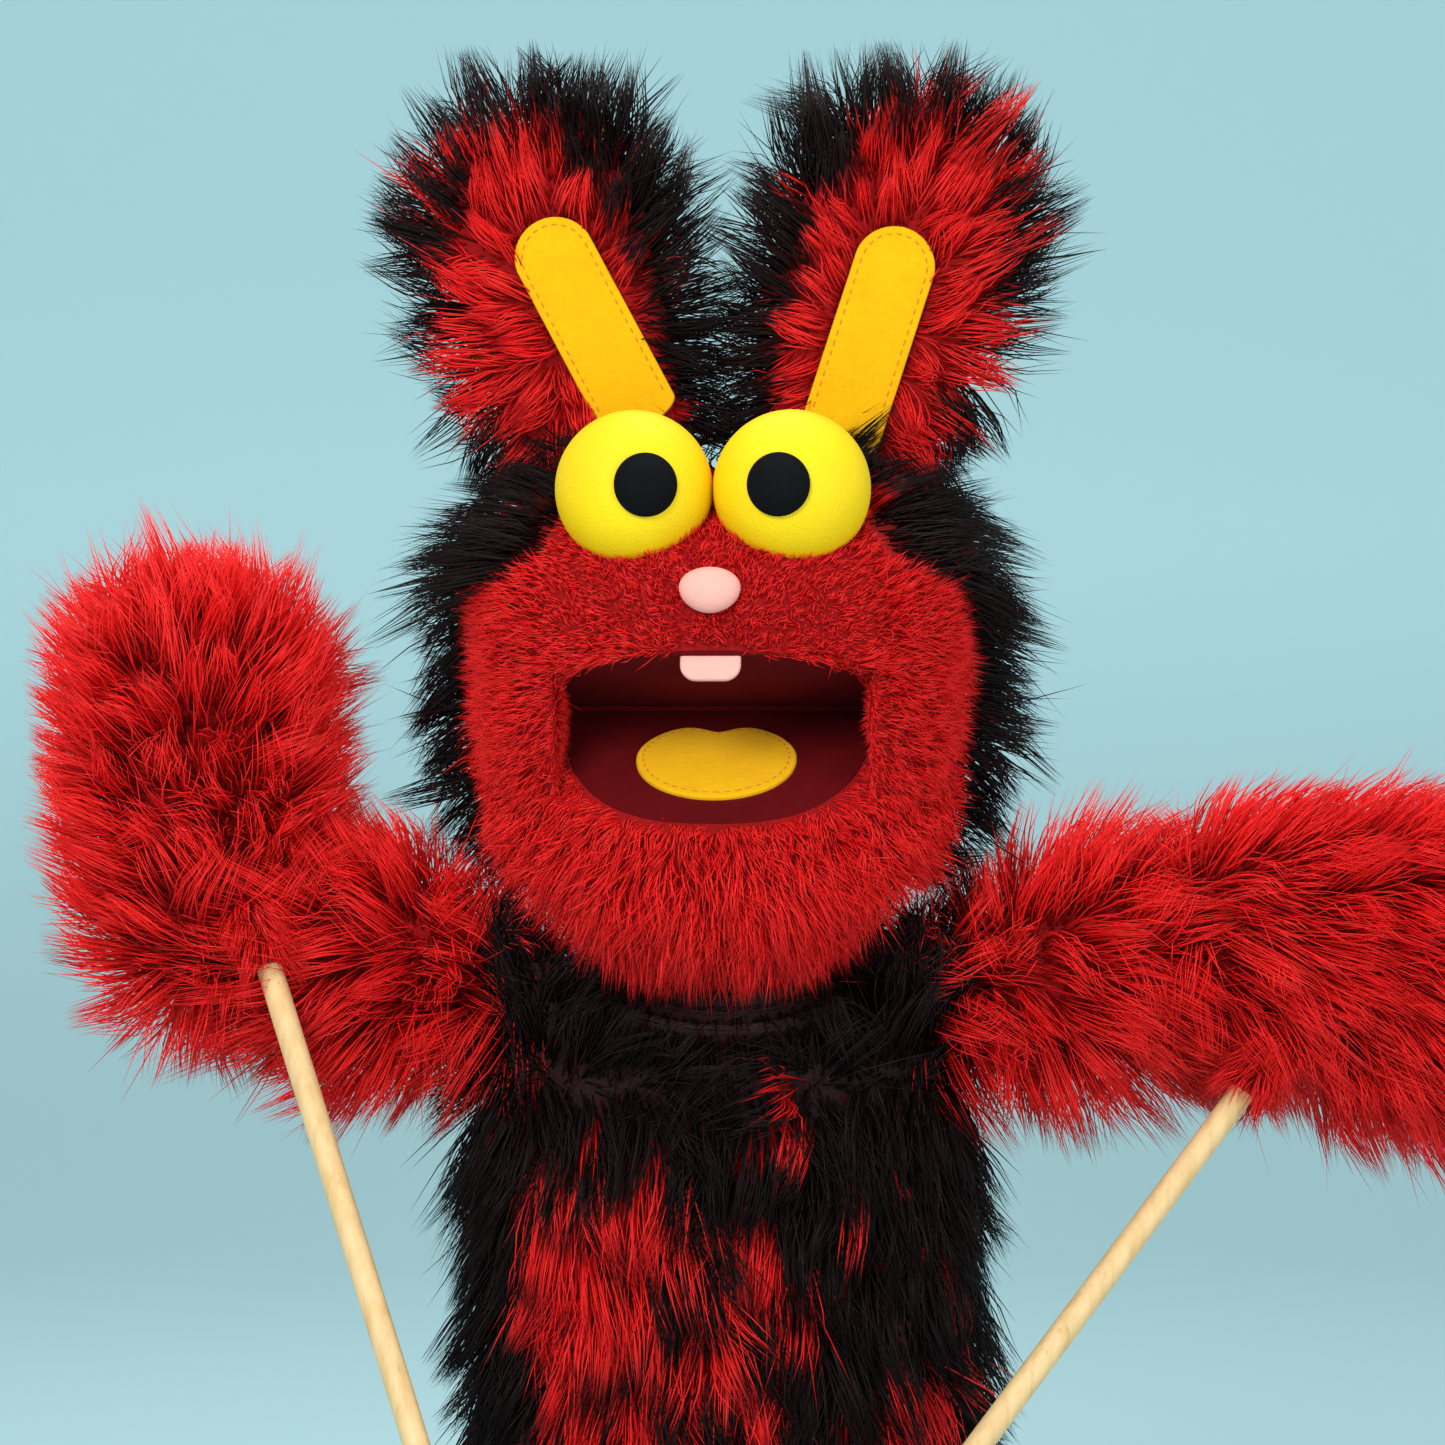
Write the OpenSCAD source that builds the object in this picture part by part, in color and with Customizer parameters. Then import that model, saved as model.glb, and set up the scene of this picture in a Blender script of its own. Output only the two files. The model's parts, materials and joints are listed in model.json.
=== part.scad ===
// Long-pile hand-and-rod puppet with a moving mouth, ball eyes, upright ears and two rod-worked arms.
// The origin is the middle of the hand opening at the hem. +Z is up and the face looks along -Y.

/* [Sleeve] */
// Width of the furry sleeve, side to side
body_w = 150; // [130:1:190]
// Depth of the furry sleeve, front to back
body_d = 112; // [108:1:150]
// Height of the sleeve from the hem to the front of the neck
chest_h = 264; // [200:1:340]
// Thickness of the fur, backing and packed pile together
fur_t = 6; // [4:0.5:7]
// Thickness of the cloth that lines the sleeve
lining_t = 1.5; // [1:0.1:2]
// Height of the turned hem tape
hem_h = 14; // [8:1:24]

/* [Neck] */
// Diameter of the passage for the wearer's wrist
wrist_d = 62; // [50:1:64]
// Thickness of each neck ring, foam and fur together
ring_t = 5.5; // [4.5:0.1:6]
// Gap between rings that move on each other
ring_gap = 0.5; // [0.3:0.1:1]

/* [Head] */
// Width of the head's foam at the cheeks
head_w = 148; // [136:1:180]
// Turn of the head at rest, to the wearer's left
head_turn = 3; // [0:1:15]
// Width of the mouth at its corners
mouth_w = 95; // [80:1:104]
// Depth of the mouth from its crease to the lips
mouth_d = 62; // [50:1:66]
// Rise of the palate above level
palate_rise = 15; // [8:1:18]
// Drop of the lower jaw below level
jaw_drop = 35; // [30:1:38]
// Thickness of each stiff mouth plate
plate_t = 2; // [1.5:0.1:3]
// Thickness of the felts
felt_t = 1.5; // [1:0.1:2]

/* [Face] */
// Diameter of the foam ball eyes
eye_d = 48.4; // [38:0.1:56]
// Diameter of the pupils
pupil_d = 19; // [12:0.5:24]
// Width of the nose
nose_w = 18.5; // [14:0.5:26]
// Width of the tooth
tooth_w = 18.5; // [12:0.5:26]
// Width of the tongue
tongue_w = 50; // [38:1:60]

/* [Ears] */
// Length of an ear above its seam
ear_l = 108; // [80:1:150]
// Width of an ear near its top
ear_w = 70; // [56:1:90]
// Width of an ear at its seam
ear_base_w = 56; // [44:1:60]
// Outward tilt of the ears
ear_tilt = 16; // [8:1:20]
// Width of the felt strip inside an ear
strip_w = 26; // [16:1:34]

/* [Arms and rods] */
// Length of the upper arm, shoulder to elbow
arm_l = 95; // [85:1:130]
// Length of the paw beyond the elbow
paw_l = 92; // [70:1:120]
// Thickness of the arm with its fur
arm_d = 58; // [48:1:62]
// Length of the wooden rods
rod_l = 345; // [260:1:400]
// Diameter of the wooden rods
rod_d = 8; // [5:0.5:10]

/* [Hidden] */

round_fn = 64;
soft_fn = 24;
oval_steps = 60;
far = 400;

red = "crimson";
black = "#1c1416";
yellow = "gold";
amber = "orange";
pink = "lightpink";
maroon = "#4a0008";
foam = "wheat";
wood = "burlywood";

// Neck: concentric spherical rings about neck_c, from the head's collar outwards
wrist_r = wrist_d / 2;
neck_c = [0, 0, chest_h + 36];
collar_r = wrist_r + 2 + ring_t + 1;
upper_r = collar_r + ring_gap + ring_t;
lower_r = upper_r + ring_gap + ring_t;
bowl_r = lower_r + ring_gap;
skin_share = 0.5;

// Sleeve: the top slopes down towards the chest, and a shoulder stands at each side
chest_slope = 8;
shoulder_h = neck_c[2] - 2;
shoulder_in = bowl_r + 2;
foam_low = chest_h - 30;

// Mouth crease, in the head's own frame
hinge = [0, -10, neck_c[2] + 78];
tape_r = 3;
crease_gap = 1;
jaw_back = 72;
throat = 86;

// Centres and radii of the balls that round the head, as [x, y, z, radius] from the neck's centre
cheek_r = 22;
cheek_x = head_w / 2 - cheek_r;
HEAD_BALLS = [
    [cheek_x - 8, -36, 112, 24],
    [16, -46, 112, 23],
    [34, -4, 124, 26],
    [32, 20, 98, 30],
    [cheek_x, 0, 72, cheek_r],
    [28, 22, 44, 24],
    [cheek_x - 9, -28, 52, cheek_r],
    [15, -40, 30, 22]
];

// Eyes, nose and other face pieces, in the head's own frame
eye_r = eye_d / 2;
eye_z = neck_c[2] + 144.5;
eye_y = -57;
pupil_r = pupil_d / 2;

// Ears
ear_t = 5;
ear_half = ear_t / 2 + fur_t;
ear_seam = [36, -4, neck_c[2] + 158];
ear_groove = 1;

// Arms: [side, lift of the upper arm, lift of the paw, turn of the paw about its length]
LEFT = [-1, 17, 84, 90];
RIGHT = [1, 12, -5, 0];
ball_r = 18;
ball_gap = 0.5;
shoulder_c = [body_w / 2 - 2, 0, neck_c[2] - 14];
arm_r = arm_d / 2;
root_r = 15;
elbow_r = arm_r;
paw_r = arm_r - 3;
paw_spread = 13;
elbow_neck = 15;

// Rods: where the tab sits from the elbow, and the rod's [lean in the front plane, tilt forwards]
tab_r = 6.5;
rod_start = tab_r + 0.4;
sock_l = 24;
sock_t = 1;
glued_d = rod_d - 0.6;
shaft_start = rod_start + sock_l + 2;
LEFT_TAB = [13.5, 0.5 - arm_r, 10];
RIGHT_TAB = [15, 4 - arm_r, 4 - arm_r];
LEFT_HANG = [20, 22];
RIGHT_HANG = [39, 14];

// An oval with half widths a and b, as a many-sided polygon
module oval(a, b) {
    polygon([for (i = [0:oval_steps - 1]) [a * cos(i * 360 / oval_steps), b * sin(i * 360 / oval_steps)]]);
}

// A tube of oval section whose wall lies between two insets from the sleeve's outside
module sleeve_wall(inset, wall, z0, z1) {
    translate([0, 0, z0])
        linear_extrude(z1 - z0)
            difference() {
                oval(body_w / 2 - inset, body_d / 2 - inset);
                oval(body_w / 2 - inset - wall, body_d / 2 - inset - wall);
            }
}

// Everything above the sloping chest and between the shoulders, with the bowl and the arm sockets
module sleeve_cuts() {
    translate([0, 0, chest_h + body_d / 2 * tan(chest_slope)])
        rotate([chest_slope, 0, 0])
            translate([-shoulder_in, -far / 2, 0])
                cube([2 * shoulder_in, far, far]);
    translate(neck_c)
        sphere(bowl_r, $fn = round_fn);
    for (side = [-1, 1])
        translate([side * shoulder_c[0], shoulder_c[1], shoulder_c[2]])
            sphere(ball_r + ball_gap, $fn = round_fn);
}

module half_space(front) {
    translate([-far / 2, front ? -far : 0, -far / 2])
        cube([far, far, far * 2]);
}

module body_fur(front) {
    difference() {
        sleeve_wall(0, fur_t, 0, shoulder_h);
        half_space(!front);
        sleeve_cuts();
    }
}

module body_fur_front() { color(red) body_fur(true); }
module body_fur_back() { color(black) body_fur(false); }

module body_lining() {
    color(maroon)
        difference() {
            sleeve_wall(fur_t, lining_t, hem_h, shoulder_h);
            sleeve_cuts();
        }
}

module hem_binding() {
    color(maroon) sleeve_wall(fur_t, 2 * lining_t, 0, hem_h);
}

module chest_foam() {
    color(foam)
        difference() {
            translate([0, 0, foam_low])
                linear_extrude(shoulder_h - foam_low)
                    oval(body_w / 2 - fur_t - lining_t, body_d / 2 - fur_t - lining_t);
            translate([0, 0, foam_low - 1])
                cylinder(h = far, r = wrist_r, $fn = round_fn);
            sleeve_cuts();
        }
}

// Room for the chin: everything above a plane that falls towards the front, from the neck's centre
module chin_room(y, z, slope) {
    translate([-far / 2, y, z])
        rotate([slope, 0, 0])
            translate([0, -far, 0])
                cube([far, 2 * far, far]);
}

// Part of a spherical shell about the neck's centre, with the wrist's passage through it
module neck_ring(r_in, r_out, z0, z1, room_y, room_z, slope) {
    translate(neck_c)
        difference() {
            intersection() {
                sphere(r_out, $fn = round_fn);
                translate([-far / 2, -far / 2, z0])
                    cube([far, far, z1 - z0]);
            }
            sphere(r_in, $fn = round_fn);
            translate([0, 0, -far / 2])
                cylinder(h = far, r = wrist_r, $fn = round_fn);
            chin_room(room_y, room_z, slope);
        }
}

ring_mid = ring_t * skin_share;
module neck_lower_ring(r_in, r_out) { neck_ring(r_in, r_out, -38, -12, -lower_r, -26, 27); }
module neck_upper_ring(r_in, r_out) { neck_ring(r_in, r_out, -33, -4, -upper_r, -20, 27); }
module neck_lower_foam() { color(foam) neck_lower_ring(lower_r - ring_t, lower_r - ring_mid); }
module neck_lower_fur() { color(black) neck_lower_ring(lower_r - ring_mid, lower_r); }
module neck_upper_foam() { color(foam) neck_upper_ring(upper_r - ring_t, upper_r - ring_mid); }
module neck_upper_fur() { color(black) neck_upper_ring(upper_r - ring_mid, upper_r); }

module head_frame() {
    rotate([0, 0, -head_turn])
        children();
}

// The head's rounded outside, grown or shrunk all over
module head_form(grow) {
    translate(neck_c)
        hull()
            for (ball = HEAD_BALLS, side = [-1, 1])
                translate([side * ball[0], ball[1], ball[2]])
                    sphere(ball[3] + grow, $fn = soft_fn);
}

// A wedge across the head about the mouth's crease, between two angles below level
module mouth_wedge(a0, a1) {
    steps = 4;
    rotate([90, 0, 90])
        linear_extrude(far, center = true)
            polygon(concat(
                [[hinge[1], hinge[2]]],
                [for (i = [0:steps])
                    let (a = a0 + (a1 - a0) * i / steps)
                    [hinge[1] - far * cos(a), hinge[2] - far * sin(a)]]
            ));
}

module crease(r, length) {
    translate(hinge)
        rotate([0, 90, 0])
            cylinder(h = length, r = r, center = true, $fn = round_fn);
}

module palate_frame() {
    translate(hinge)
        rotate([-palate_rise, 0, 0])
            children();
}

module jaw_frame() {
    translate(hinge)
        rotate([jaw_drop, 0, 0])
            children();
}

// The mouth's D outline: straight along the crease and squarish at the lips
module mouth_outline(grow) {
    power = 2 / 2.6;
    steps = 36;
    a = mouth_w / 2 + grow;
    b = mouth_d + grow;
    difference() {
        polygon([for (i = [0:steps])
            let (t = 180 * i / steps)
            [a * sign(cos(t)) * pow(abs(cos(t)), power), -b * pow(sin(t), power)]]);
        translate([-far / 2, -tape_r - crease_gap])
            square([far, far]);
    }
}

// The wearer's hand: up through the collar and into the middle of the head
module hand_space() {
    hull() {
        translate([0, 0, neck_c[2] + 8])
            cylinder(h = 6, r = wrist_r, $fn = soft_fn);
        translate([-mouth_w / 2 + 9, -8, neck_c[2] + 56])
            cube([mouth_w - 18, 36, 50]);
    }
    translate([0, 0, neck_c[2] - far / 2])
        cylinder(h = far / 2 + 10, r = wrist_r, $fn = round_fn);
}

pocket_wall = 1;
finger_w = mouth_w - 18;
finger_h = 20;
finger_d = mouth_d - 12;
thumb_w = 38;
thumb_h = 22;
thumb_d = mouth_d - 14;
module finger_block(grow, back) {
    palate_frame()
        translate([-finger_w / 2 - grow, -finger_d - grow, felt_t + plate_t + pocket_wall - grow])
            cube([finger_w + 2 * grow, finger_d + grow + back, finger_h + 2 * grow]);
}
module thumb_block(grow, back) {
    jaw_frame()
        translate([-thumb_w / 2 - grow, -thumb_d - grow,
            -felt_t - plate_t - pocket_wall - thumb_h - grow])
            cube([thumb_w + 2 * grow, thumb_d + grow + back, thumb_h + 2 * grow]);
}

module eye_place(side) {
    translate([side * eye_r, eye_y, eye_z])
        children();
}

module ear_frame(side) {
    translate([side * ear_seam[0], ear_seam[1], ear_seam[2]])
        rotate([0, side * ear_tilt, 0])
            children();
}

module ear_grooves() {
    for (side = [-1, 1])
        ear_frame(side)
            rotate([0, 90, 0])
                cylinder(h = ear_base_w + 4, r = ear_half + ear_groove, center = true, $fn = round_fn);
}

// What is taken out of both the skull and its fur
module head_cuts() {
    mouth_wedge(-palate_rise, throat);
    crease(tape_r + crease_gap, far);
    for (side = [-1, 1])
        eye_place(side) sphere(eye_r, $fn = round_fn);
    ear_grooves();
    translate(neck_c)
        sphere(upper_r + ring_gap, $fn = round_fn);
    palate_frame() {
        linear_extrude(2 * (felt_t + plate_t), center = true) mouth_outline(felt_t);
        tooth_slab();
    }
}

module skull_foam() {
    color(foam)
        head_frame()
            difference() {
                head_form(0);
                head_cuts();
                hand_space();
                finger_block(pocket_wall, 8);
            }
}

module wrist_collar() {
    color(foam)
        union() {
            neck_ring(wrist_r, collar_r, -20, 0.01, -collar_r, -13, 31);
            translate(neck_c)
                difference() {
                    cylinder(h = 14, r = collar_r, $fn = round_fn);
                    translate([0, 0, -1]) cylinder(h = 16, r = wrist_r, $fn = round_fn);
                    chin_room(-collar_r, -13, 31);
                }
        }
}

module head_shell() {
    difference() {
        head_form(fur_t);
        head_form(0);
        head_cuts();
        hand_space();
    }
}

face_back = -14;
module face_fur() {
    color(red)
        head_frame()
            difference() {
                head_shell();
                translate([-far / 2, face_back, 0]) cube([far, far, far * 2]);
                nose_form(0);
            }
}

module head_fur_back() {
    color(black)
        head_frame()
            difference() {
                head_shell();
                translate([-far / 2, face_back - far, 0]) cube([far, far, far * 2]);
            }
}

module finger_pocket() {
    color(maroon)
        head_frame()
            difference() {
                finger_block(pocket_wall, 0);
                finger_block(0, 1);
                head_cuts_behind_crease();
            }
}

// Keeps the pockets clear of the crease and of each other's swing
module head_cuts_behind_crease() {
    crease(tape_r + crease_gap, far);
}

module upper_mouth_plate() {
    color("dimgray")
        head_frame() palate_frame()
            translate([0, 0, felt_t]) linear_extrude(plate_t) mouth_outline(0);
}

module upper_mouth_lining() {
    color(maroon)
        head_frame() palate_frame()
            difference() {
                linear_extrude(felt_t) mouth_outline(felt_t / 2);
                tooth_slab();
            }
}

module mouth_hinge_tape() {
    color(maroon) head_frame() crease(tape_r, mouth_w);
}

// The tooth hangs from the upper lip, on the palate's own frame
tooth_h = 12;
tooth_t = 2.4;
module tooth_slab() {
    translate([0, -mouth_d + tooth_t, -tooth_h + 4])
        rotate([90, 0, 0])
            linear_extrude(tooth_t)
                union() {
                    translate([-tooth_w / 2, tooth_h / 2]) square([tooth_w, tooth_h / 2]);
                    translate([-tooth_w / 2 + tooth_h / 2, 0]) square([tooth_w - tooth_h, tooth_h]);
                    for (side = [-1, 1])
                        translate([side * (tooth_w - tooth_h) / 2, tooth_h / 2])
                            circle(tooth_h / 2, $fn = round_fn);
                }
}

module tooth() {
    color(pink) head_frame() palate_frame()
        difference() {
            tooth_slab();
            translate([-far / 2, -far / 2, felt_t]) cube(far);
        }
}

module nose_form(grow) {
    translate([0, -46 - 23 - fur_t + 1, neck_c[2] + 113])
        scale([1, 0.55, 0.76])
            sphere(nose_w / 2 + grow, $fn = soft_fn);
}

module nose() { color(pink) head_frame() nose_form(0); }

module eye_ball(side) {
    color(yellow) head_frame() eye_place(side) sphere(eye_r, $fn = round_fn);
}
module left_eye_ball() { eye_ball(-1); }
module right_eye_ball() { eye_ball(1); }

// A felt disc that follows the ball, looking a little inwards
module pupil(side) {
    inward = side < 0 ? 13 : -8;
    color("black")
        head_frame() eye_place(side)
            rotate([0, 0, inward])
                intersection() {
                    difference() {
                        sphere(eye_r + felt_t * 0.6, $fn = round_fn);
                        sphere(eye_r, $fn = round_fn);
                    }
                    rotate([90, 0, 0]) cylinder(h = far, r = pupil_r, $fn = round_fn);
                }
}
module left_pupil() { pupil(-1); }
module right_pupil() { pupil(1); }

module jaw_cuts() {
    crease(tape_r + crease_gap, far);
    thumb_block(pocket_wall, 60);
    jaw_frame()
        linear_extrude(2 * (felt_t + plate_t), center = true) mouth_outline(felt_t);
}

module jaw_foam() {
    color(foam)
        head_frame()
            difference() {
                intersection() {
                    head_form(0);
                    mouth_wedge(jaw_drop, jaw_back);
                }
                jaw_cuts();
            }
}

module chin_fur() {
    color(red)
        head_frame()
            difference() {
                intersection() {
                    head_form(fur_t);
                    mouth_wedge(jaw_drop, jaw_back);
                }
                head_form(0);
                jaw_cuts();
            }
}

module lower_mouth_plate() {
    color("dimgray")
        head_frame() jaw_frame()
            translate([0, 0, -felt_t - plate_t]) linear_extrude(plate_t) mouth_outline(0);
}

module lower_mouth_lining() {
    color(maroon)
        head_frame() jaw_frame()
            translate([0, 0, -felt_t]) linear_extrude(felt_t) mouth_outline(felt_t / 2);
}

// Two lobes at the throat and one broad round tip
module tongue() {
    lobe = tongue_w * 0.27;
    color(yellow)
        head_frame() jaw_frame()
            linear_extrude(felt_t + 0.5)
                union() {
                    for (side = [-1, 1])
                        translate([side * (tongue_w / 2 - lobe), -mouth_d * 0.42])
                            circle(lobe, $fn = round_fn);
                    translate([0, -mouth_d * 0.5])
                        intersection() {
                            circle(tongue_w / 2, $fn = round_fn);
                            translate([-far / 2, -far]) square([far, far]);
                        }
                    translate([-tongue_w / 2 + lobe, -mouth_d * 0.5])
                        square([tongue_w - 2 * lobe, lobe * 0.8]);
                }
}

module thumb_pocket() {
    color(maroon)
        head_frame()
            intersection() {
                difference() {
                    thumb_block(pocket_wall, 40);
                    thumb_block(0, 60);
                    crease(tape_r + crease_gap, far);
                }
                mouth_wedge(jaw_drop, jaw_back);
            }
}

// An ear's outline: a round top and a narrower seam end
module ear_outline(grow) {
    r = ear_w / 2 - fur_t + grow;
    hull() {
        translate([0, ear_l - fur_t - (ear_w / 2 - fur_t)]) circle(r, $fn = round_fn);
        translate([-ear_base_w / 2 - grow, 0]) square([ear_base_w + 2 * grow, 1]);
    }
}

// A layer of the ear between two depths, negative in front, with a rounded foot in the groove
module ear_layer(side, y0, y1, grow) {
    head_frame() ear_frame(side)
        union() {
            translate([0, y1, 0])
                rotate([90, 0, 0])
                    linear_extrude(y1 - y0) ear_outline(grow);
            intersection() {
                rotate([0, 90, 0])
                    cylinder(h = ear_base_w, r = ear_half, center = true, $fn = round_fn);
                translate([-far / 2, y0, -far]) cube([far, y1 - y0, far]);
            }
        }
}

module ear_core(side) { color(foam) ear_layer(side, -ear_t / 2, ear_t / 2, 0); }
module ear_fur_front(side) { color(red) ear_layer(side, -ear_half, -ear_t / 2, fur_t); }
module ear_fur_back(side) { color(black) ear_layer(side, ear_t / 2, ear_half, fur_t); }

// The felt strip leans inwards towards its lower end
module ear_inner(side) {
    lean = side < 0 ? 12 : 2;
    low = side < 0 ? [13, 10] : [0, 6];
    color(amber)
        head_frame() ear_frame(side)
            translate([-side * low[0], -ear_half, low[1]])
                rotate([0, side * lean, 0])
                    rotate([90, 0, 0])
                        linear_extrude(felt_t)
                            union() {
                                translate([-strip_w / 2, 0]) square([strip_w, ear_l * 0.52]);
                                translate([0, ear_l * 0.52]) circle(strip_w / 2, $fn = round_fn);
                            }
}

module left_ear_core() { ear_core(-1); }
module left_ear_fur_front() { ear_fur_front(-1); }
module left_ear_fur_back() { ear_fur_back(-1); }
module left_ear_inner() { ear_inner(-1); }
module right_ear_core() { ear_core(1); }
module right_ear_fur_front() { ear_fur_front(1); }
module right_ear_fur_back() { ear_fur_back(1); }
module right_ear_inner() { ear_inner(1); }

// Shoulder at the origin, the arm along +X on the right and along -X on the left
module shoulder_frame(arm) {
    translate([arm[0] * shoulder_c[0], shoulder_c[1], shoulder_c[2]])
        rotate([0, -arm[0] * arm[1], 0])
            scale_side(arm[0]) children();
}

module scale_side(side) {
    if (side < 0) mirror([1, 0, 0]) children();
    else children();
}

function elbow_c(arm) = [
    arm[0] * (shoulder_c[0] + arm_l * cos(arm[1])),
    shoulder_c[1],
    shoulder_c[2] + arm_l * sin(arm[1])
];

module elbow_frame(arm) {
    translate(elbow_c(arm))
        rotate([0, -arm[0] * arm[2], 0])
            scale_side(arm[0]) rotate([arm[3], 0, 0]) children();
}

module shoulder_gusset(arm) {
    color(red) shoulder_frame(arm) sphere(ball_r, $fn = round_fn);
}

// The upper arm is turned about its length, and narrows at the shoulder seam and at the elbow
module arm_form(skin) {
    x0 = ball_r - 3;
    x1 = x0 + 22;
    x3 = arm_l - elbow_r + 4;
    x2 = x3 - 16;
    rotate([0, 90, 0])
        rotate_extrude($fn = round_fn)
            polygon([
                [0, x0], [root_r - skin, x0], [arm_r - skin, x1],
                [arm_r - skin, x2], [elbow_neck - skin, x3], [0, x3]
            ]);
}

module arm_cuts() {
    sphere(ball_r + ball_gap, $fn = round_fn);
    translate([arm_l, 0, 0]) sphere(elbow_r + ball_gap, $fn = round_fn);
}

module arm_fur(arm) {
    color(red) shoulder_frame(arm)
        difference() {
            arm_form(0);
            arm_form(fur_t);
            arm_cuts();
        }
}

module arm_stuffing(arm) {
    color("ivory") shoulder_frame(arm)
        difference() {
            arm_form(fur_t);
            arm_cuts();
        }
}

module paw_form(skin) {
    hull() {
        sphere(elbow_r - skin, $fn = soft_fn);
        for (side = [-1, 1])
            translate([paw_l - paw_r, 0, side * paw_spread]) sphere(paw_r - skin, $fn = soft_fn);
    }
}

module paw_fur(arm, tab) {
    color(red)
        difference() {
            elbow_frame(arm)
                difference() {
                    paw_form(0);
                    paw_form(fur_t);
                }
            translate(elbow_c(arm) + tab) sphere(tab_r + ball_gap, $fn = soft_fn);
        }
}

module paw_stuffing(arm) { color("ivory") elbow_frame(arm) paw_form(fur_t); }

module tab_frame(arm, tab) {
    translate(elbow_c(arm) + tab)
        children();
}

module rod_tab(arm, tab) {
    color(maroon) tab_frame(arm, tab) sphere(tab_r, $fn = round_fn);
}

// The rod hangs from its tab, leaning towards the body and tilted forwards
module rod_frame(arm, tab, hang) {
    tab_frame(arm, tab)
        rotate([0, arm[0] * hang[0], 0])
            rotate([180 - hang[1], 0, 0])
                children();
}

// A plain dowel, its glued end sanded a little thinner inside the sock
module rod(arm, tab, hang) {
    color(wood)
        rod_frame(arm, tab, hang) {
            translate([0, 0, rod_start])
                cylinder(h = rod_l - rod_start, d = glued_d, $fn = round_fn);
            translate([0, 0, shaft_start])
                cylinder(h = rod_l - shaft_start, d = rod_d, $fn = round_fn);
        }
}

module rod_sock(arm, tab, hang) {
    color(red)
        rod_frame(arm, tab, hang)
            translate([0, 0, rod_start])
                difference() {
                    cylinder(h = sock_l, d = rod_d + 2 * sock_t, $fn = round_fn);
                    translate([0, 0, -1]) cylinder(h = sock_l + 2, d = glued_d, $fn = round_fn);
                }
}

module left_shoulder_gusset() { shoulder_gusset(LEFT); }
module left_arm_fur() { arm_fur(LEFT); }
module left_arm_stuffing() { arm_stuffing(LEFT); }
module left_paw_fur() { paw_fur(LEFT, LEFT_TAB); }
module left_paw_stuffing() { paw_stuffing(LEFT); }
module left_rod_tab() { rod_tab(LEFT, LEFT_TAB); }
module left_rod() { rod(LEFT, LEFT_TAB, LEFT_HANG); }
module left_rod_sock() { rod_sock(LEFT, LEFT_TAB, LEFT_HANG); }
module right_shoulder_gusset() { shoulder_gusset(RIGHT); }
module right_arm_fur() { arm_fur(RIGHT); }
module right_arm_stuffing() { arm_stuffing(RIGHT); }
module right_paw_fur() { paw_fur(RIGHT, RIGHT_TAB); }
module right_paw_stuffing() { paw_stuffing(RIGHT); }
module right_rod_tab() { rod_tab(RIGHT, RIGHT_TAB); }
module right_rod() { rod(RIGHT, RIGHT_TAB, RIGHT_HANG); }
module right_rod_sock() { rod_sock(RIGHT, RIGHT_TAB, RIGHT_HANG); }

body_fur_front();
body_fur_back();
body_lining();
hem_binding();
chest_foam();
neck_lower_foam();
neck_lower_fur();
neck_upper_foam();
neck_upper_fur();
skull_foam();
wrist_collar();
face_fur();
head_fur_back();
finger_pocket();
upper_mouth_plate();
upper_mouth_lining();
mouth_hinge_tape();
tooth();
nose();
left_eye_ball();
right_eye_ball();
left_pupil();
right_pupil();
jaw_foam();
chin_fur();
lower_mouth_plate();
lower_mouth_lining();
tongue();
thumb_pocket();
left_ear_core();
left_ear_fur_front();
left_ear_fur_back();
left_ear_inner();
right_ear_core();
right_ear_fur_front();
right_ear_fur_back();
right_ear_inner();
left_shoulder_gusset();
left_arm_fur();
left_arm_stuffing();
left_paw_fur();
left_paw_stuffing();
left_rod_tab();
left_rod();
left_rod_sock();
right_shoulder_gusset();
right_arm_fur();
right_arm_stuffing();
right_paw_fur();
right_paw_stuffing();
right_rod_tab();
right_rod();
right_rod_sock();
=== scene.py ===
"""A shaggy hand-and-rod puppet with a moving mouth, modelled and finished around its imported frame."""
import json
import math

import bmesh
import bpy
import numpy as np
from bpy.props import FloatProperty, FloatVectorProperty, PointerProperty
from mathutils import Matrix, Vector, kdtree


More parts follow.
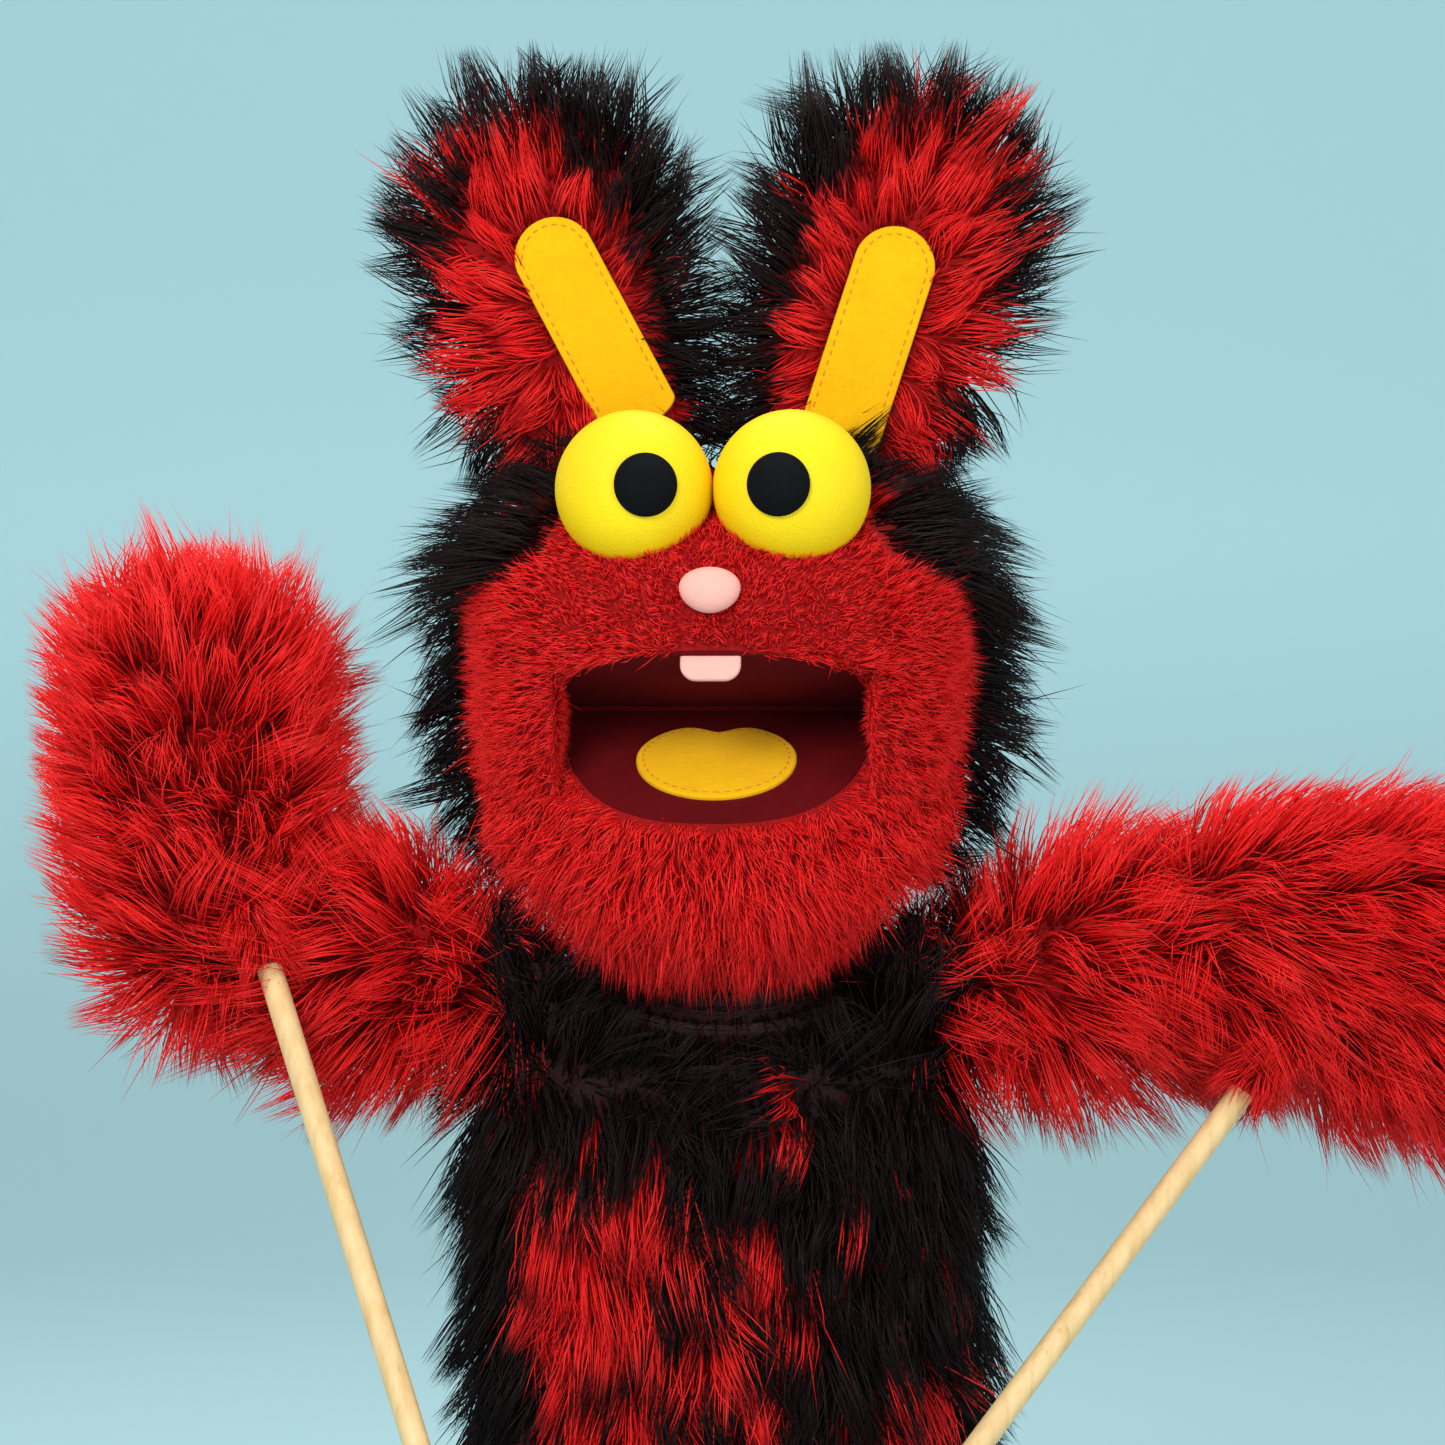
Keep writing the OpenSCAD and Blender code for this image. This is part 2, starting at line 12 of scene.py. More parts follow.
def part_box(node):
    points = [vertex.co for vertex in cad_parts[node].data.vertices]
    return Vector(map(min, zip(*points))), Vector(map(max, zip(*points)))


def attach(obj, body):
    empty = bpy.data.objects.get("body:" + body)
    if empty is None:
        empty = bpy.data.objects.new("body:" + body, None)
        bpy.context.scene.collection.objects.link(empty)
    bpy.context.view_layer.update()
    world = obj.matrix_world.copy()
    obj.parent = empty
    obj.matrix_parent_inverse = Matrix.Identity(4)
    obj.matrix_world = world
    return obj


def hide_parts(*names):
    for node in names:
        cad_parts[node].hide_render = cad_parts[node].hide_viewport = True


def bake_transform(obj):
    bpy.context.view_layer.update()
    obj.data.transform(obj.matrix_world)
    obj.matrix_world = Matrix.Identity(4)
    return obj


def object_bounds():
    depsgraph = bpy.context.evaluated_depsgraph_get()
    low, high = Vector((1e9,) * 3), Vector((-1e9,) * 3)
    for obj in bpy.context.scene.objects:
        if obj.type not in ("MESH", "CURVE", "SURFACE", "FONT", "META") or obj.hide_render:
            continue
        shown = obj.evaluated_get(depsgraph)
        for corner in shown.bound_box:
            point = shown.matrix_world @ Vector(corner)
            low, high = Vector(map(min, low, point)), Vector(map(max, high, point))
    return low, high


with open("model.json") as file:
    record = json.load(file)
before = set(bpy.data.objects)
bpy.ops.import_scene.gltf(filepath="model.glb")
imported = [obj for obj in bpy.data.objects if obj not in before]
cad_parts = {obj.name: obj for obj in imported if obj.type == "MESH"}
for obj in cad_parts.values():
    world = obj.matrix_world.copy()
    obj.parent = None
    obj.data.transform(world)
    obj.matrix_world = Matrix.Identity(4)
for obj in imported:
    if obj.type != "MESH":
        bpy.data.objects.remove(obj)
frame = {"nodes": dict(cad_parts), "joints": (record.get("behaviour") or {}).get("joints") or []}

bl_info = {
    "name": "Moving mouth puppet",
    "version": (1, 0, 0),
    "blender": (4, 5, 0),
    "location": "3D View > Sidebar > Puppet",
    "description": "Sews, stuffs and finishes a furry moving mouth puppet around its frame",
    "category": "Object",
}

MM = 0.001
CAD_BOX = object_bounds()
SIDES = {"left": -1, "right": 1}
JOINTS = {joint["name"]: joint for joint in frame["joints"]}


def joint_at(name):
    """A joint's place, in millimetres"""
    return Vector(JOINTS[name]["pos_m"]) / MM


def joint_axis(name):
    """The direction a joint turns about"""
    return Vector(JOINTS[name]["axis"])


def middle(node):
    """The middle of a frame node's box, in millimetres"""
    low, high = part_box(node)
    return (low + high) / (2 * MM)


def axes_at(origin, x_axis, z_axis):
    """A frame of reference from its origin, its x axis and a rough z axis"""
    x = x_axis.normalized()
    y = z_axis.cross(x).normalized()
    turn = Matrix((x, y, x.cross(y))).transposed()
    return Matrix.Translation(origin) @ turn.to_4x4()


UP = Vector((0, 0, 1))
NECK = joint_at("head_nod")
HEAD = axes_at(NECK, joint_axis("head_nod"), UP)
HINGE = HEAD.inverted() @ joint_at("jaw_open")
PALATE_RISE = math.radians(15)
JAW_DROP = math.radians(35)
PALATE = HEAD @ Matrix.Translation(HINGE) @ Matrix.Rotation(-PALATE_RISE, 4, "X")
JAW = HEAD @ Matrix.Translation(HINGE) @ Matrix.Rotation(JAW_DROP, 4, "X")
MOUTH_W = 95
MOUTH_D = 62
FUR_INSET = 3
EYE_R = (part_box("left_eye_ball")[1].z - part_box("left_eye_ball")[0].z) / (2 * MM)
SLEEVE_HALF_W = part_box("body_fur_front")[1].x / MM - FUR_INSET
SLEEVE_HALF_D = -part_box("body_fur_front")[0].y / MM - FUR_INSET
CLOTH_WALL = 1.6


# Arrays of points

def unit(v):
    """Vectors brought to a length of 1"""
    return v / np.maximum(np.linalg.norm(v, axis=-1, keepdims=True), 1e-9)


def ramp(x, low, high):
    """0 below low, 1 above high, smooth between"""
    t = np.clip((x - low) / (high - low), 0, 1)
    return t * t * (3 - 2 * t)


def drift(points, wave, seed):
    """Smooth noise from -1 to 1 over points, with features about one wave long"""
    rng = np.random.default_rng(seed)
    ways = rng.normal(size=(6, 3)) * 2 * math.pi / wave
    return np.clip(np.sin(points @ ways.T + rng.uniform(0, 7, 6)).mean(1) * 1.7, -1, 1)


def local(points, place):
    """Points as a frame of reference sees them"""
    m = np.array(place.inverted())
    return points @ m[:3, :3].T + m[:3, 3]


def along(*v):
    """A vector as an array, to be used on many points at once"""
    return np.array(v, float)


# Pieces and skins: the smooth forms that the pile grows from

def new_piece(name, bm, material, body, replaced=()):
    """Makes an object of a bmesh in millimetres, and hangs it on a body of the frame"""
    bmesh.ops.transform(bm, matrix=Matrix.Scale(MM, 4), verts=bm.verts)
    mesh = bpy.data.meshes.new(name)
    bm.to_mesh(mesh)
    bm.free()
    return hang(name, mesh, material, body, replaced)


def hang(name, mesh, material, body, replaced=()):
    """Makes an object of a mesh, to ride on a body, or on none"""
    piece = bpy.data.objects.new(name, mesh)
    bpy.context.scene.collection.objects.link(piece)
    mesh.materials.append(material)
    mesh.shade_smooth()
    if body:
        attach(piece, body)
    if replaced:
        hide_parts(*replaced)
    return piece


def finished(bm, cell=0, soften=0, wall=0):
    """Runs a bmesh through a voxel remesh, a smoothing and a solidify, and gives it back"""
    mesh = bpy.data.meshes.new("work")
    bm.to_mesh(mesh)
    bm.free()
    work = bpy.data.objects.new("work", mesh)
    bpy.context.scene.collection.objects.link(work)
    if cell:
        remesh = work.modifiers.new("remesh", "REMESH")
        remesh.mode = "VOXEL"
        remesh.voxel_size = cell
    if soften:
        smooth = work.modifiers.new("soften", "SMOOTH")
        smooth.iterations = soften
    if wall:
        solid = work.modifiers.new("wall", "SOLIDIFY")
        solid.thickness = wall
        solid.offset = -1
    seen = work.evaluated_get(bpy.context.evaluated_depsgraph_get())
    out = bmesh.new()
    out.from_mesh(seen.to_mesh())
    seen.to_mesh_clear()
    bpy.data.objects.remove(work)
    bpy.data.meshes.remove(mesh)
    return out


def points_of(geometry):
    """The vertices among what an operator gives back"""
    return [g for g in geometry if isinstance(g, bmesh.types.BMVert)]


def extruded(bm, way):
    """Gives a flat cut its thickness"""
    grown = bmesh.ops.extrude_face_region(bm, geom=bm.faces[:])["geom"]
    bmesh.ops.translate(bm, vec=way, verts=points_of(grown))
    bmesh.ops.recalc_face_normals(bm, faces=bm.faces)


def round_edges(bm, offset, segments, sharper=0.9, edges=None):
    """Rounds the edges that turn more sharply than an angle in radians, or the edges given"""
    if edges is None:
        edges = [e for e in bm.edges if e.calc_face_angle(0) > sharper]
    bmesh.ops.bevel(bm, geom=edges, offset=offset, segments=segments, profile=0.5, affect="EDGES",
                    material=-1)


def stretched_over(balls, place, cell=4, soften=6):
    """A smooth skin stretched over balls, each (x, y, z, radius) in the place's own frame"""
    bm = bmesh.new()
    for x, y, z, radius in balls:
        bmesh.ops.create_icosphere(
            bm, subdivisions=3, radius=radius, matrix=place @ Matrix.Translation((x, y, z))
        )
    hull = bmesh.ops.convex_hull(bm, input=bm.verts)
    inside = set(points_of(hull["geom_interior"] + hull["geom_unused"]))
    bmesh.ops.delete(bm, geom=list(inside), context="VERTS")
    return finished(bm, cell, soften)


def all_of(bm):
    """Every vertex, edge and face"""
    return bm.verts[:] + bm.edges[:] + bm.faces[:]


def cut(bm, place, point, normal, close=False):
    """Cuts away what lies beyond a plane, given in the place's frame, and may close the cut"""
    co = place @ Vector(point)
    no = place.to_3x3() @ Vector(normal)
    got = bmesh.ops.bisect_plane(bm, geom=all_of(bm), plane_co=co, plane_no=no, clear_outer=True)
    if close:
        edges = [g for g in got["geom_cut"] if isinstance(g, bmesh.types.BMEdge)]
        bmesh.ops.triangle_fill(bm, edges=edges, use_beauty=True, normal=no)
    return bm


# The pile

DARK_STEPS = 8      # How many shares of black the map can hold
PROUD = 9           # How far hairs may stand outside the frame's box, besides 3% of its sides
SHORTEST = 0.2      # What is left of a hair that has no room
FLOOR_GAP = 0.4     # Hairs at the hem lie on the floor


def scatter(skin, per_mm2, rng):
    """Random points on a skin, each with its smooth normal

    Faces and corners are put in order of place, because operators give them in any order."""
    bmesh.ops.triangulate(skin, faces=skin.faces)
    skin.normal_update()
    faces = sorted(skin.faces, key=lambda f: tuple(round(c, 1) for c in f.calc_center_median().zxy))
    around = [sorted(f.verts, key=lambda v: tuple(round(c, 1) for c in v.co.zxy)) for f in faces]
    corners = np.array([[v.co for v in ring] for ring in around])
    normals = np.array([[v.normal for v in ring] for ring in around])
    areas = np.array([f.calc_area() for f in faces])
    pick = rng.choice(len(areas), int(areas.sum() * per_mm2), p=areas / areas.sum())
    a, b = rng.random((2, len(pick), 1))
    over = a + b > 1
    a, b = np.where(over, 1 - a, a), np.where(over, 1 - b, b)

    def mix(c):
        """A value between those at a triangle's corners"""
        return c[pick, 0] * (1 - a - b) + c[pick, 1] * a + c[pick, 2] * b

    return mix(corners), unit(mix(normals))


def pile_paths(roots, normals, rng, comb, length, lean, fall, frizz, lock, pull, stray, rings):
    """Where each hair runs, from its root to its tip, drawn into pointed locks"""
    n = len(roots)
    t = np.linspace(0, 1, rings + 1)[None, :, None]
    flow = comb(roots, normals)
    flow = flow - normals * (flow * normals).sum(1, keepdims=True)
    lean_of = lean(roots)[:, None] if callable(lean) else lean
    aim = unit(normals * (1 - lean_of) + flow * lean_of + frizz * rng.normal(size=(n, 3)))
    reach = (length(roots) * rng.uniform(0.7, 1.1, n))[:, None, None]
    curl = rng.normal(size=(n, 1, 3)) * 0.10 + flow[:, None] * 0.25 + along(0, 0, -fall)
    own = roots[:, None] + reach * (aim[:, None] * t + curl * t ** 2)
    leaders = rng.permutation(n)[: max(1, n // lock)]
    tree = kdtree.KDTree(len(leaders))
    for i, k in enumerate(leaders):
        tree.insert(roots[k], i)
    tree.balance()
    mine = leaders[[tree.find(p)[1] for p in roots]]
    drawn = (rng.random(n) > stray)[:, None, None] * rng.uniform(0.6, 1, (n, 1, 1)) * pull
    paths = own + (own[mine] - own) * drawn * t ** 1.15
    return paths, mine


def trimmed(paths):
    """Shortens the hairs that would stand too far outside the frame's own box"""
    low, high = (np.array(corner) / MM for corner in CAD_BOX)
    room = (high - low) * 0.03 + PROUD
    root, tip = paths[:, :1], paths[:, -1:]
    way = tip - root
    limit = np.where(way > 0, high + room - root, low - room * along(1, 1, 0) - root)
    runs = np.abs(way) > 0.01
    share = np.where(runs, limit / np.where(runs, way, 1), 1)
    paths = root + (paths - root) * np.clip(share.min(-1, keepdims=True), SHORTEST, 1)
    paths[..., 2] = np.maximum(paths[..., 2], FLOOR_GAP)
    return paths


def tufted(paths, widths):
    """Three-sided hairs along paths: points, and the faces that join them, for one hair"""
    n, rings_and_tip, _ = paths.shape
    rings = rings_and_tip - 1
    run = unit(np.gradient(paths, axis=1))
    side = unit(np.cross(run, unit(along(0.31, 0.17, 0.93))))
    other = np.cross(side, run)
    taper = np.array([1, 0.92, 0.72, 0.45, 0.25])[:rings] if rings > 2 else np.array([1, 0.65])
    points = np.empty((n, rings * 3 + 1, 3))
    for k in range(rings):
        for j in range(3):
            turn = 2 * math.pi * j / 3
            off = side[:, k] * math.cos(turn) + other[:, k] * math.sin(turn)
            points[:, k * 3 + j] = paths[:, k] + off * (widths * taper[k] / 2)[:, None]
    points[:, -1] = paths[:, -1]
    faces = [[2, 1, 0]]
    for k in range(rings - 1):
        for j in range(3):
            a, b = k * 3 + j, k * 3 + (j + 1) % 3
            faces.append([a, b, b + 3, a + 3])
    last = (rings - 1) * 3
    faces += [[last + j, last + (j + 1) % 3, last + 3] for j in range(3)]
    return points, faces


def pile(name, skin, seed, body, material, comb, length, dark, per_mm2=0.3, width=0.55,
         lean=0.6, fall=0.15, frizz=0.16, lock=12, pull=0.75, stray=0.12, rings=3, keep=None):
    """One panel of fur: hairs scattered on a skin, combed, drawn into locks and dyed.

    comb gives the way the hairs lie, length and dark a hair's length in mm and its share of black, and
    keep which roots stay. Lean tips a hair from upright to flat, and fall bends its tip down. Of lock
    hairs, each is drawn towards its leader by pull, apart from the stray ones. The map runs along a
    hair, and across it holds its share of black and how bright it is."""
    rng = np.random.default_rng(seed)
    roots, normals = scatter(skin, per_mm2, rng)
    if keep:
        kept = keep(roots, normals)
        roots, normals = roots[kept], normals[kept]
    paths, mine = pile_paths(
        roots, normals, rng, comb, length, lean, fall, frizz, lock, pull, stray, rings
    )
    paths = trimmed(paths)
    n = len(roots)
    points, faces = tufted(paths, width * rng.uniform(0.7, 1.25, n))
    share = dark(roots)[mine]
    uneven = rng.normal(size=n) * 0.05 + rng.normal(size=n)[mine] * 0.09
    share = np.clip(share + uneven * ramp(share, 0, 0.2), 0, 1)
    tone = np.clip(0.5 + 0.16 * rng.normal(size=n) + 0.14 * rng.normal(size=n)[mine], 0.12, 0.88)
    across = (np.floor(share * (DARK_STEPS - 0.01)) + tone) / DARK_STEPS

    per_hair = points.shape[1]
    loops = np.concatenate([np.array(f) for f in faces])
    totals = np.array([len(f) for f in faces])
    mesh = bpy.data.meshes.new(name)
    mesh.vertices.add(n * per_hair)
    mesh.vertices.foreach_set("co", (points * MM).ravel().astype(np.float32))
    mesh.loops.add(n * len(loops))
    corners = (np.arange(n)[:, None] * per_hair + loops).ravel()
    mesh.loops.foreach_set("vertex_index", corners.astype(np.int32))
    mesh.polygons.add(n * len(faces))
    starts = (np.arange(n)[:, None] * len(loops) + np.concatenate([[0], totals.cumsum()[:-1]])).ravel()
    mesh.polygons.foreach_set("loop_start", starts.astype(np.int32))
    mesh.polygons.foreach_set("loop_total", np.tile(totals, n).astype(np.int32))
    mesh.update(calc_edges=True)
    up_hair = np.append(np.repeat(np.arange(rings) / rings, 3), 1)[loops]
    round_hair = np.append(np.tile([-1.0, 0.0, 1.0], rings), 0.0)[loops] * 0.006
    uv = np.stack([across[:, None] + round_hair, np.tile(up_hair * 0.98 + 0.01, (n, 1))], -1)
    mesh.uv_layers.new(name="OFBake").data.foreach_set("uv", uv.ravel().astype(np.float32))
    return hang(name, mesh, material, body)


# Shader maths

class Wire:
    """A shader socket that takes part in Python expressions"""

    def __init__(self, tree, socket):
        self.tree, self.socket = tree, socket

    def _math(self, operation, *values):
        """A Math node on this and other values"""
        return self.tree.make("ShaderNodeMath", {"operation": operation}, *values)

    def __add__(self, other): return self._math("ADD", self, other)
    def __radd__(self, other): return self._math("ADD", other, self)
    def __sub__(self, other): return self._math("SUBTRACT", self, other)
    def __rsub__(self, other): return self._math("SUBTRACT", other, self)
    def __mul__(self, other): return self._math("MULTIPLY", self, other)
    def __rmul__(self, other): return self._math("MULTIPLY", other, self)
    def __truediv__(self, other): return self._math("DIVIDE", self, other)
    def floor(self): return self._math("FLOOR", self)
    def fract(self): return self._math("FRACT", self)

    def step(self, low, high):
        """0 below low, 1 above high, smooth between"""
        settings = {"interpolation_type": "SMOOTHSTEP"}
        return self.tree.make(
            "ShaderNodeMapRange", settings, Value=self, From_Min=low, From_Max=high
        )


class Dye:
    """One material: its nodes, and the shader that they feed"""

    def __init__(self, name, roughness=0.6, sheen=0.0, specular=0.3):
        self.material = bpy.data.materials.new(name)
        self.material.use_nodes = True
        self.nodes = self.material.node_tree.nodes
        self.links = self.material.node_tree.links
        self.shader = self.nodes["Principled BSDF"]
        self.shader.inputs["Roughness"].default_value = roughness
        self.shader.inputs["Sheen Weight"].default_value = sheen
        self.shader.inputs["Specular IOR Level"].default_value = specular

    def make(self, kind, settings=(), *values, out=0, **sockets):
        """A node from its type, its settings and its sockets' values or wires"""
        node = self.nodes.new(kind)
        for key, value in dict(settings).items():
            setattr(node, key, value)
        for key, value in enumerate(values):
            self.feed(node.inputs[key], value)
        for key, value in sockets.items():
            self.feed(node.inputs[key.replace("_", " ")], value)
        return Wire(self, node.outputs[out])

    def feed(self, socket, value):
        """Links a wire to a socket, or sets the socket's value"""
        if isinstance(value, Wire):
            self.links.new(value.socket, socket)
        else:
            socket.default_value = value

    def mix(self, factor, a, b):
        """A colour between two colours"""
        node = self.nodes.new("ShaderNodeMix")
        node.data_type = "RGBA"
        colours = [socket for socket in node.inputs if socket.type == "RGBA"]
        self.feed(node.inputs[0], factor)
        self.feed(colours[0], a)
        self.feed(colours[1], b)
        return Wire(self, next(socket for socket in node.outputs if socket.type == "RGBA"))

    def part(self, vector, axis):
        """One of a vector's three numbers"""
        return self.make("ShaderNodeSeparateXYZ", {}, vector, out=axis)

    def place(self):
        """Object coordinates"""
        return self.make("ShaderNodeTexCoord", out="Object")

    def noise(self, scale, detail=2.0, rough=0.5, vector=None):
        """Noise from 0 to 1, in object coordinates or in a vector's"""
        sockets = {"Scale": scale, "Detail": detail, "Roughness": rough}
        return self.make("ShaderNodeTexNoise", {}, Vector=vector or self.place(), **sockets)

    def stretch(self, scale):
        """Object coordinates scaled along each axis"""
        return self.make("ShaderNodeMapping", {}, Vector=self.place(), Scale=scale)

    def colour(self, value):
        """Sets the base colour"""
        self.feed(self.shader.inputs["Base Color"], value)
        return self

    def rough(self, value):
        """Sets a roughness that varies"""
        self.feed(self.shader.inputs["Roughness"], value)
        return self

    def relief(self, height, distance, strength=1.0):
        """Sets a bump, whose height is up to a distance in metres"""
        bump = self.make("ShaderNodeBump", {}, Height=height, Distance=distance, Strength=strength)
        self.feed(self.shader.inputs["Normal"], bump)
        return self


def rgb(r, g, b):
    """A solid colour"""
    return (r, g, b, 1.0)


def fur_dye(name, look, depth=1.0):
    """Fur, darker at the root as painted shade deep in the pile, whose tips may be black by a share that the
    map holds
    """
    dye = Dye(name, roughness=0.5, sheen=0.0, specular=0.14)
    uv = dye.make("ShaderNodeUVMap", {"uv_map": "OFBake"})
    across, up_hair = dye.part(uv, 0) * DARK_STEPS, dye.part(uv, 1)
    share = across.floor() / (DARK_STEPS - 1)
    tone = across.fract()
    hair = dye.mix(tone, rgb(*look.red), rgb(*look.red_tip))
    # The red darkens towards each hair's root: painted shade between the hairs, as much as depth gives
    red = dye.mix(up_hair.step(-0.3, 0.75) * depth + (1 - depth), rgb(*look.red_root_shade), hair)
    black = dye.mix(tone, rgb(*look.black), rgb(*look.black_sheen))
    soot = (up_hair - (1.12 - share * 1.3) + 0.12) / 0.24
    dye.colour(dye.mix(soot.step(0, 1), red, black))
    return dye.material


def cloth_dye(name, base, deep, weave=1600, roughness=0.85):
    """Knitted backing or woven lining"""
    dye = Dye(name, roughness=roughness, sheen=0.03, specular=0.15)
    thread = dye.make("ShaderNodeTexVoronoi", {}, Vector=dye.place(), Scale=weave)
    shade = dye.noise(60, 3) * 0.6 + thread * 0.4
    dye.colour(dye.mix(shade, rgb(*deep), rgb(*base))).relief(thread, 0.0003)
    return dye.material


def seamed_dye(name, front, back, edge):
    """Knitted backing that changes colour at a seam, whose place along y is in metres"""
    dye = Dye(name, roughness=0.85, sheen=0.03, specular=0.15)
    thread = dye.make("ShaderNodeTexVoronoi", {}, Vector=dye.place(), Scale=1600)
    seam = dye.part(dye.place(), 1).step(edge, edge + 0.004)
    dye.colour(dye.mix(seam, rgb(*front), rgb(*back))).relief(thread, 0.0003)
    return dye.material


def felt_dye(name, base, deep, sheen=0.05):
    """Pressed wool: fine matted fibres and a faint unevenness"""
    dye = Dye(name, roughness=0.92, sheen=sheen, specular=0.12)
    cloud = dye.noise(90, 4, 0.6)
    fibre = dye.noise(900, 6, 0.75, vector=dye.stretch((1.0, 1.0, 0.35)))
    fibre_b = dye.noise(1100, 5, 0.7, vector=dye.stretch((0.35, 1.0, 1.0)))
    mat = fibre * 0.5 + fibre_b * 0.5
    dye.colour(dye.mix((cloud * 0.5 + mat * 0.9 - 0.2), rgb(*deep), rgb(*base)))
    dye.relief(mat, 0.0007, 0.8)
    return dye.material


def ball_dye(name, look):
    """Dense sponge ball: a matt skin with tiny closed pores"""
    dye = Dye(name, roughness=0.62, sheen=0.0, specular=0.3)
    pores = dye.make("ShaderNodeTexVoronoi", {}, Vector=dye.place(), Scale=1500.0)
    cloud = dye.noise(35, 3)
    dye.colour(dye.mix(cloud.step(0.3, 0.75), rgb(*look.eye), rgb(*look.eye_deep)))
    dye.relief(pores, 0.00022, 0.6)
    return dye.material


def wood_dye(name, scale):
    """Pale sanded dowel with grain along its length"""
    dye = Dye(name, roughness=0.5, specular=0.35)
    grain = dye.noise(1.0, 5, 0.65, vector=dye.stretch(scale))
    fleck = dye.noise(2.3, 3, 0.6, vector=dye.stretch(scale))
    pale, warm, dark = rgb(0.78, 0.52, 0.25), rgb(0.66, 0.40, 0.16), rgb(0.45, 0.24, 0.09)
    body = dye.mix(grain.step(0.35, 0.75), pale, warm)
    dye.colour(dye.mix(fleck.step(0.60, 0.75) * 0.5, body, dark)).relief(grain, 0.0002, 0.4)
    dye.rough(grain * 0.2 + 0.4)
    return dye.material


def sponge_dye(name, base, deep, scale=420.0):
    """Open-cell foam or loose stuffing"""
    dye = Dye(name, roughness=0.9, specular=0.1)
    cells = dye.make("ShaderNodeTexVoronoi", {}, Vector=dye.place(), Scale=scale)
    dye.colour(dye.mix(cells * 0.7 + dye.noise(50, 3) * 0.5, rgb(*deep), rgb(*base)))
    dye.relief(cells, 0.0012)
    return dye.material


def plain_dye(name, base, deep, roughness, scale=500.0):
    """A hard matt surface with a faint grain"""
    dye = Dye(name, roughness=roughness, specular=0.4)
    grain = dye.noise(scale, 4)
    dye.colour(dye.mix(grain, rgb(*deep), rgb(*base))).relief(grain, 0.0001, 0.5)
    return dye.material


def material(name, make, *args):
    """A material made once and used by each piece that asks for it"""
    name = f"{name}_look"
    return bpy.data.materials.get(name) or make(name, *args)


def fur():
    """Long hair, whose tips may be black"""
    return material("fur", fur_dye, bpy.context.scene.puppet_fur)


def plush():
    """Short hair, nearly even in colour along its length, with little painted shade at its roots"""
    return material("plush", fur_dye, bpy.context.scene.puppet_fur, 0.22)


def red_backing():
    """Knitted cloth under the red fur"""
    return material("red_backing", cloth_dye, (0.42, 0.004, 0.006), (0.16, 0.002, 0.002))


def head_backing():
    """Red cloth under the face and black cloth under the crown's fur"""
    return material("head_backing", seamed_dye, (0.30, 0.003, 0.004), (0.02, 0.006, 0.006), -0.022)


def black_backing():
    """Knitted cloth under the black fur, and under the sleeve's red fur as painted shade between its tufts"""
    return material("black_backing", cloth_dye, (0.03, 0.008, 0.008), (0.008, 0.003, 0.003))


def lining_cloth():
    """Woven lining of the sleeve and the pockets"""
    return material("lining_cloth", cloth_dye, (0.28, 0.012, 0.02), (0.12, 0.004, 0.008), 900)


def mouth_felt():
    """Dark red felt of the mouth"""
    return material("mouth_felt", felt_dye, bpy.context.scene.puppet_face.mouth, (0.055, 0.0, 0.001), 0.0)


def yellow_felt():
    """Amber felt of the tongue and the ear strips"""
    return material("yellow_felt", felt_dye, bpy.context.scene.puppet_face.amber, (0.78, 0.31, 0.0))


def pink_felt():
    """Pale felt of the nose and the tooth"""
    return material("pink_felt", felt_dye, bpy.context.scene.puppet_face.pink, (0.90, 0.36, 0.30))


def black_felt():
    """Felt of the pupils"""
    return material("black_felt", felt_dye, (0.006, 0.006, 0.007), (0.001, 0.001, 0.001), 0.0)


# Settings

class FurSettings(bpy.types.PropertyGroup):
    """The long fur's colours and length"""
    red: FloatVectorProperty(name="Red", description="Middle of the red hairs", subtype="COLOR",
                             size=3, default=(0.78, 0.002, 0.004), min=0, max=1)
    red_tip: FloatVectorProperty(name="Red tip", description="Lightest red tips", subtype="COLOR",
                                 size=3, default=(1.0, 0.035, 0.03), min=0, max=1)
    # The roots' darker red is painted shade deep in the pile
    red_root_shade: FloatVectorProperty(name="Red root", description="Roots of the red hairs", subtype="COLOR",
                                  size=3, default=(0.30, 0.0, 0.001), min=0, max=1)
    black: FloatVectorProperty(name="Black", description="Black tips", subtype="COLOR",
                               size=3, default=(0.004, 0.002, 0.002), min=0, max=1)
    black_sheen: FloatVectorProperty(name="Black sheen", description="Brownest of the black tips",
                                     subtype="COLOR", size=3, default=(0.016, 0.005, 0.005), min=0, max=1)
    thickness: FloatProperty(name="Hair thickness", description="Thickness of a hair at its root, in mm",
                             default=0.62, min=0.2, max=1.5)
    sleeve_pile: FloatProperty(name="Sleeve pile", description="Length of the sleeve's hairs, in mm",
                               default=29, min=10, max=45)
    head_pile: FloatProperty(name="Head pile", description="Length of the black hairs of the head, in mm",
                             default=27, min=10, max=45)
    arm_pile: FloatProperty(name="Arm pile", description="Length of the arms' hairs, in mm",
                            default=33, min=10, max=45)
    ear_pile: FloatProperty(name="Ear pile", description="Length of the hairs in an ear's middle, in mm",
                            default=15, min=5, max=30)


